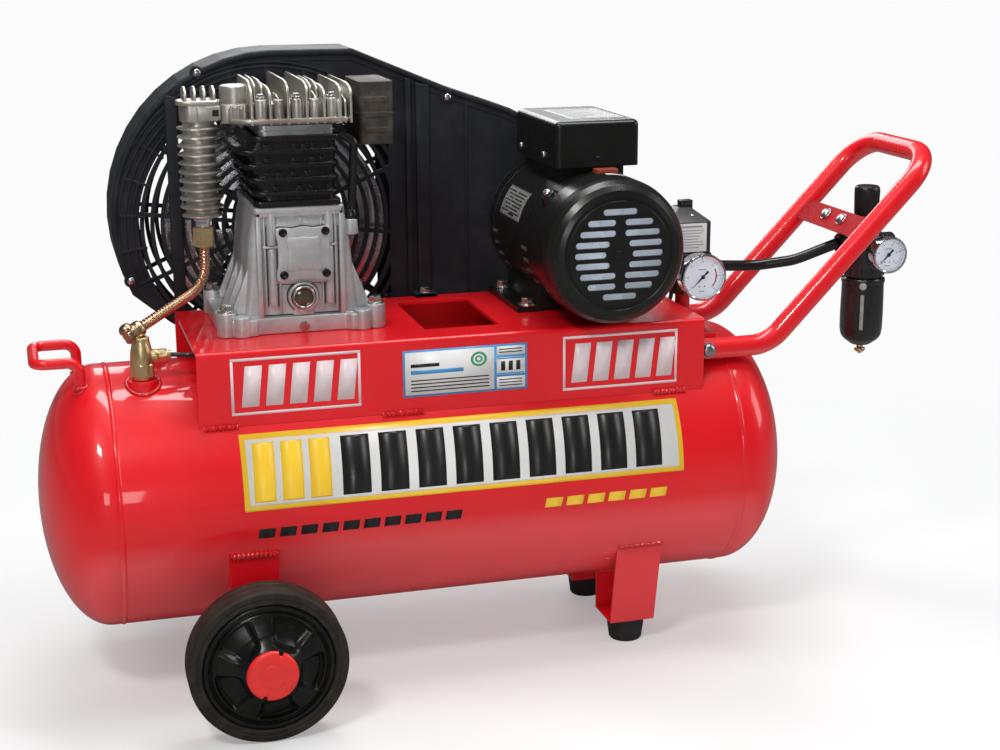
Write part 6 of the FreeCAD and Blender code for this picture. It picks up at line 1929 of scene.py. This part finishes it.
def bowl_patch(start, end, z0, z1, lift):
    """Skin on the bowl guard between two angles in degrees."""
    mesh = bmesh.new()
    rows = []
    for k in range(7):
        row = []
        for z in (z0, z0 + 1.2, (z0 + z1) / 2, z1 - 1.2, z1):
            radius = 26.8 - 0.6 * max(0.0, (z - 150) / 38.0) + lift
            x, y = polar(REGULATOR_X, 0, radius, start + (end - start) * k / 6)
            row.append(mesh.verts.new((x, y, z)))
        rows.append(row)
    strip(mesh, rows)
    return mesh


def filter_bowl():
    """Guard round the bowl, with a sight slot and a drain screw."""
    profile = [(3.6, 108.4), (10.6, 108.4), (13, 109.6), (22.6, 117), (25.4, 122), (26.6, 130),
               (26.8, 150), (26.2, 188), (25.6, 192.6), (24.2, 196.0), (21.6, 196.0),
               (21.6, 130), (10, 120.5), (3.6, 120.5)]
    mesh = turn(profile, 2.0, 4, REGULATOR, "z", 88)
    turn([(25.9, 189.2), (27.2, 189.8), (27.2, 194.6), (25.9, 195.2)], 0.6, 2, REGULATOR, "z",
         88, mesh)
    add("bowl_guard", mesh, REGULATOR_BLACK, "filter_bowl", angle=34)
    add("bowl_slot_rim", bowl_patch(-125.5, -109.5, 130, 179, 0.12), LABEL_BLACK)
    mesh = bowl_patch(-122.0, -112.6, 132, 177, 0.24)
    x, y = polar(0, 0, 1, -117)
    turn([(0, -0.6), (4.6, -0.6), (4.6, 0.7), (0, 0.9)], 0.4, 2,
         (REGULATOR_X + 26.5 * x, 26.5 * y, 188.0), (x, y, 0), 28, mesh)
    window = surface("bowl_window", (0.40, 0.40, 0.37), (0.30, 0.30, 0.28), rough=(0.22, 0.34),
                     tone=60.0, bump=0.1, soft=0.0)
    add("bowl_window", mesh, window)
    mesh = turn([(0, 96), (2.6, 96), (2.6, 98.2), (5.0, 98.4), (6.4, 100), (6.4, 103),
                 (4.2, 104.4), (3.5, 107.6), (3.5, 117), (0, 117)], 0.5, 2, REGULATOR, "z", 36)
    slab(rect(REGULATOR_X - 7.4, REGULATOR_X + 7.4, 99.6, 103.2), -1.0, 1.0, "y", 0.5, 2, mesh)
    add("bowl_drain_screw", mesh, BRASS, "bowl_drain", "bowl_drain")


def tank_drain():
    x = -215.0
    mesh = turn([(0, -186), (3.6, -186), (4.4, -184), (4.4, -181), (8.6, -180.6),
                 (8.6, -172.4), (6.2, -171), (5.9, -159), (5.9, -141), (0, -141)], 0.6, 3,
                (x, 0, 0), "z", 40)
    handle = [(x - 14, -179), (x - 8, -179), (x + 8, -179), (x + 14, -179), (x + 14, -172),
              (x - 14, -172)]
    slab(round_poly(handle, [3, 0.1, 0.1, 3, 3, 3], 4), -2, 2, "y", 0.9, 2, mesh)
    add("drain_cock", mesh, BRASS, "drain_tap", "drain_tap")


regulator_body()
regulator_bracket()
adjusting_knob()
filter_bowl()
tank_drain()


# ---------------------------------------------------------------- fasteners
def hex_fasteners():
    mesh = bmesh.new()
    for x, y in PUMP_BOLTS:
        hexbolt((x, y, 212.0), "z", 13.0, 8.2, mesh)
        turn(drum(212.1, 213.6, 10.0), 0.3, 2, (x, y, 0), "z", 32, mesh)
        hexbolt((x, y, 180.0), "-z", 13.0, 9.0, mesh, nut=True)
    for x in (MOTOR_X - 67.0, MOTOR_X + 67.0):
        for y in (-11.0, 96.0):
            turn(drum(191.1, 192.7, 11.5), 0.4, 2, (x, y, 0), "z", 36, mesh)
            hexbolt((x, y, 192.5), "z", 13.0, 7.4, mesh)
            hexbolt((x, y, 180.0), "-z", 13.0, 9.0, mesh, nut=True)
    hexbolt((37.0, 106.0, 188.6), "z", 11.0, 6.6, mesh)
    hexbolt((-140.0, -42.3, 192.2), "-y", 11.0, 5.0, mesh)
    for side in (-1, 1):
        hexbolt((240.0, side * 76.0, -188.0), "z", 13.0, 6.5, mesh)
    add("hex_fasteners", mesh, ZINC, "fasteners", angle=30)


def dome_fasteners():
    mesh = bmesh.new()
    for side, axis in ((-1, "-y"), (1, "y")):
        turn(drum(0, 1.3, 9.6), 0.4, 2, (330.0, side * 101.4, 142.0), axis, 36, mesh)
        panhead((330.0, side * 102.6, 142.0), axis, 7.8, 5.2, mesh)
    for x, z in GUARD_SCREWS:
        panhead((x, 118.8, z), "-y", 4.8, 3.2, mesh)
    for y in (-12.0, 78.0):
        panhead((154.1, y, 369.0), "-x", 4.2, 2.8, mesh)
    # screws through the handle's cross plate
    for y in (14.0, -28.0):
        seat = Vector((534.0, y, 275.2)) + PLATE_NORMAL * 0.3
        turn(drum(0, 1.3, 8.2), 0.4, 2, seat, PLATE_NORMAL, 32, mesh)
        panhead(seat + PLATE_NORMAL * 1.2, PLATE_NORMAL, 6.8, 4.6, mesh)
        hexbolt(seat - PLATE_NORMAL * 6.6, -PLATE_NORMAL, 10.0, 5.5, mesh, nut=True)
    add("dome_fasteners", mesh, STEEL, angle=30)


def handle_welds():
    """Level beads round the carry handle's feet."""
    mesh = bmesh.new()
    draws = random.Random(20)
    for side in (-1, 1):
        foot = circle(CARRY_X, side * CARRY_Y, CARRY_WELD_R, 24, 1)
        bead([(x, y, 139.8) for x, y in foot], 2.0, mesh, draws, ripple=0.2, pitch=2.4)
    add("handle_welds", mesh, WELD, angle=60)


hex_fasteners()
dome_fasteners()
handle_welds()
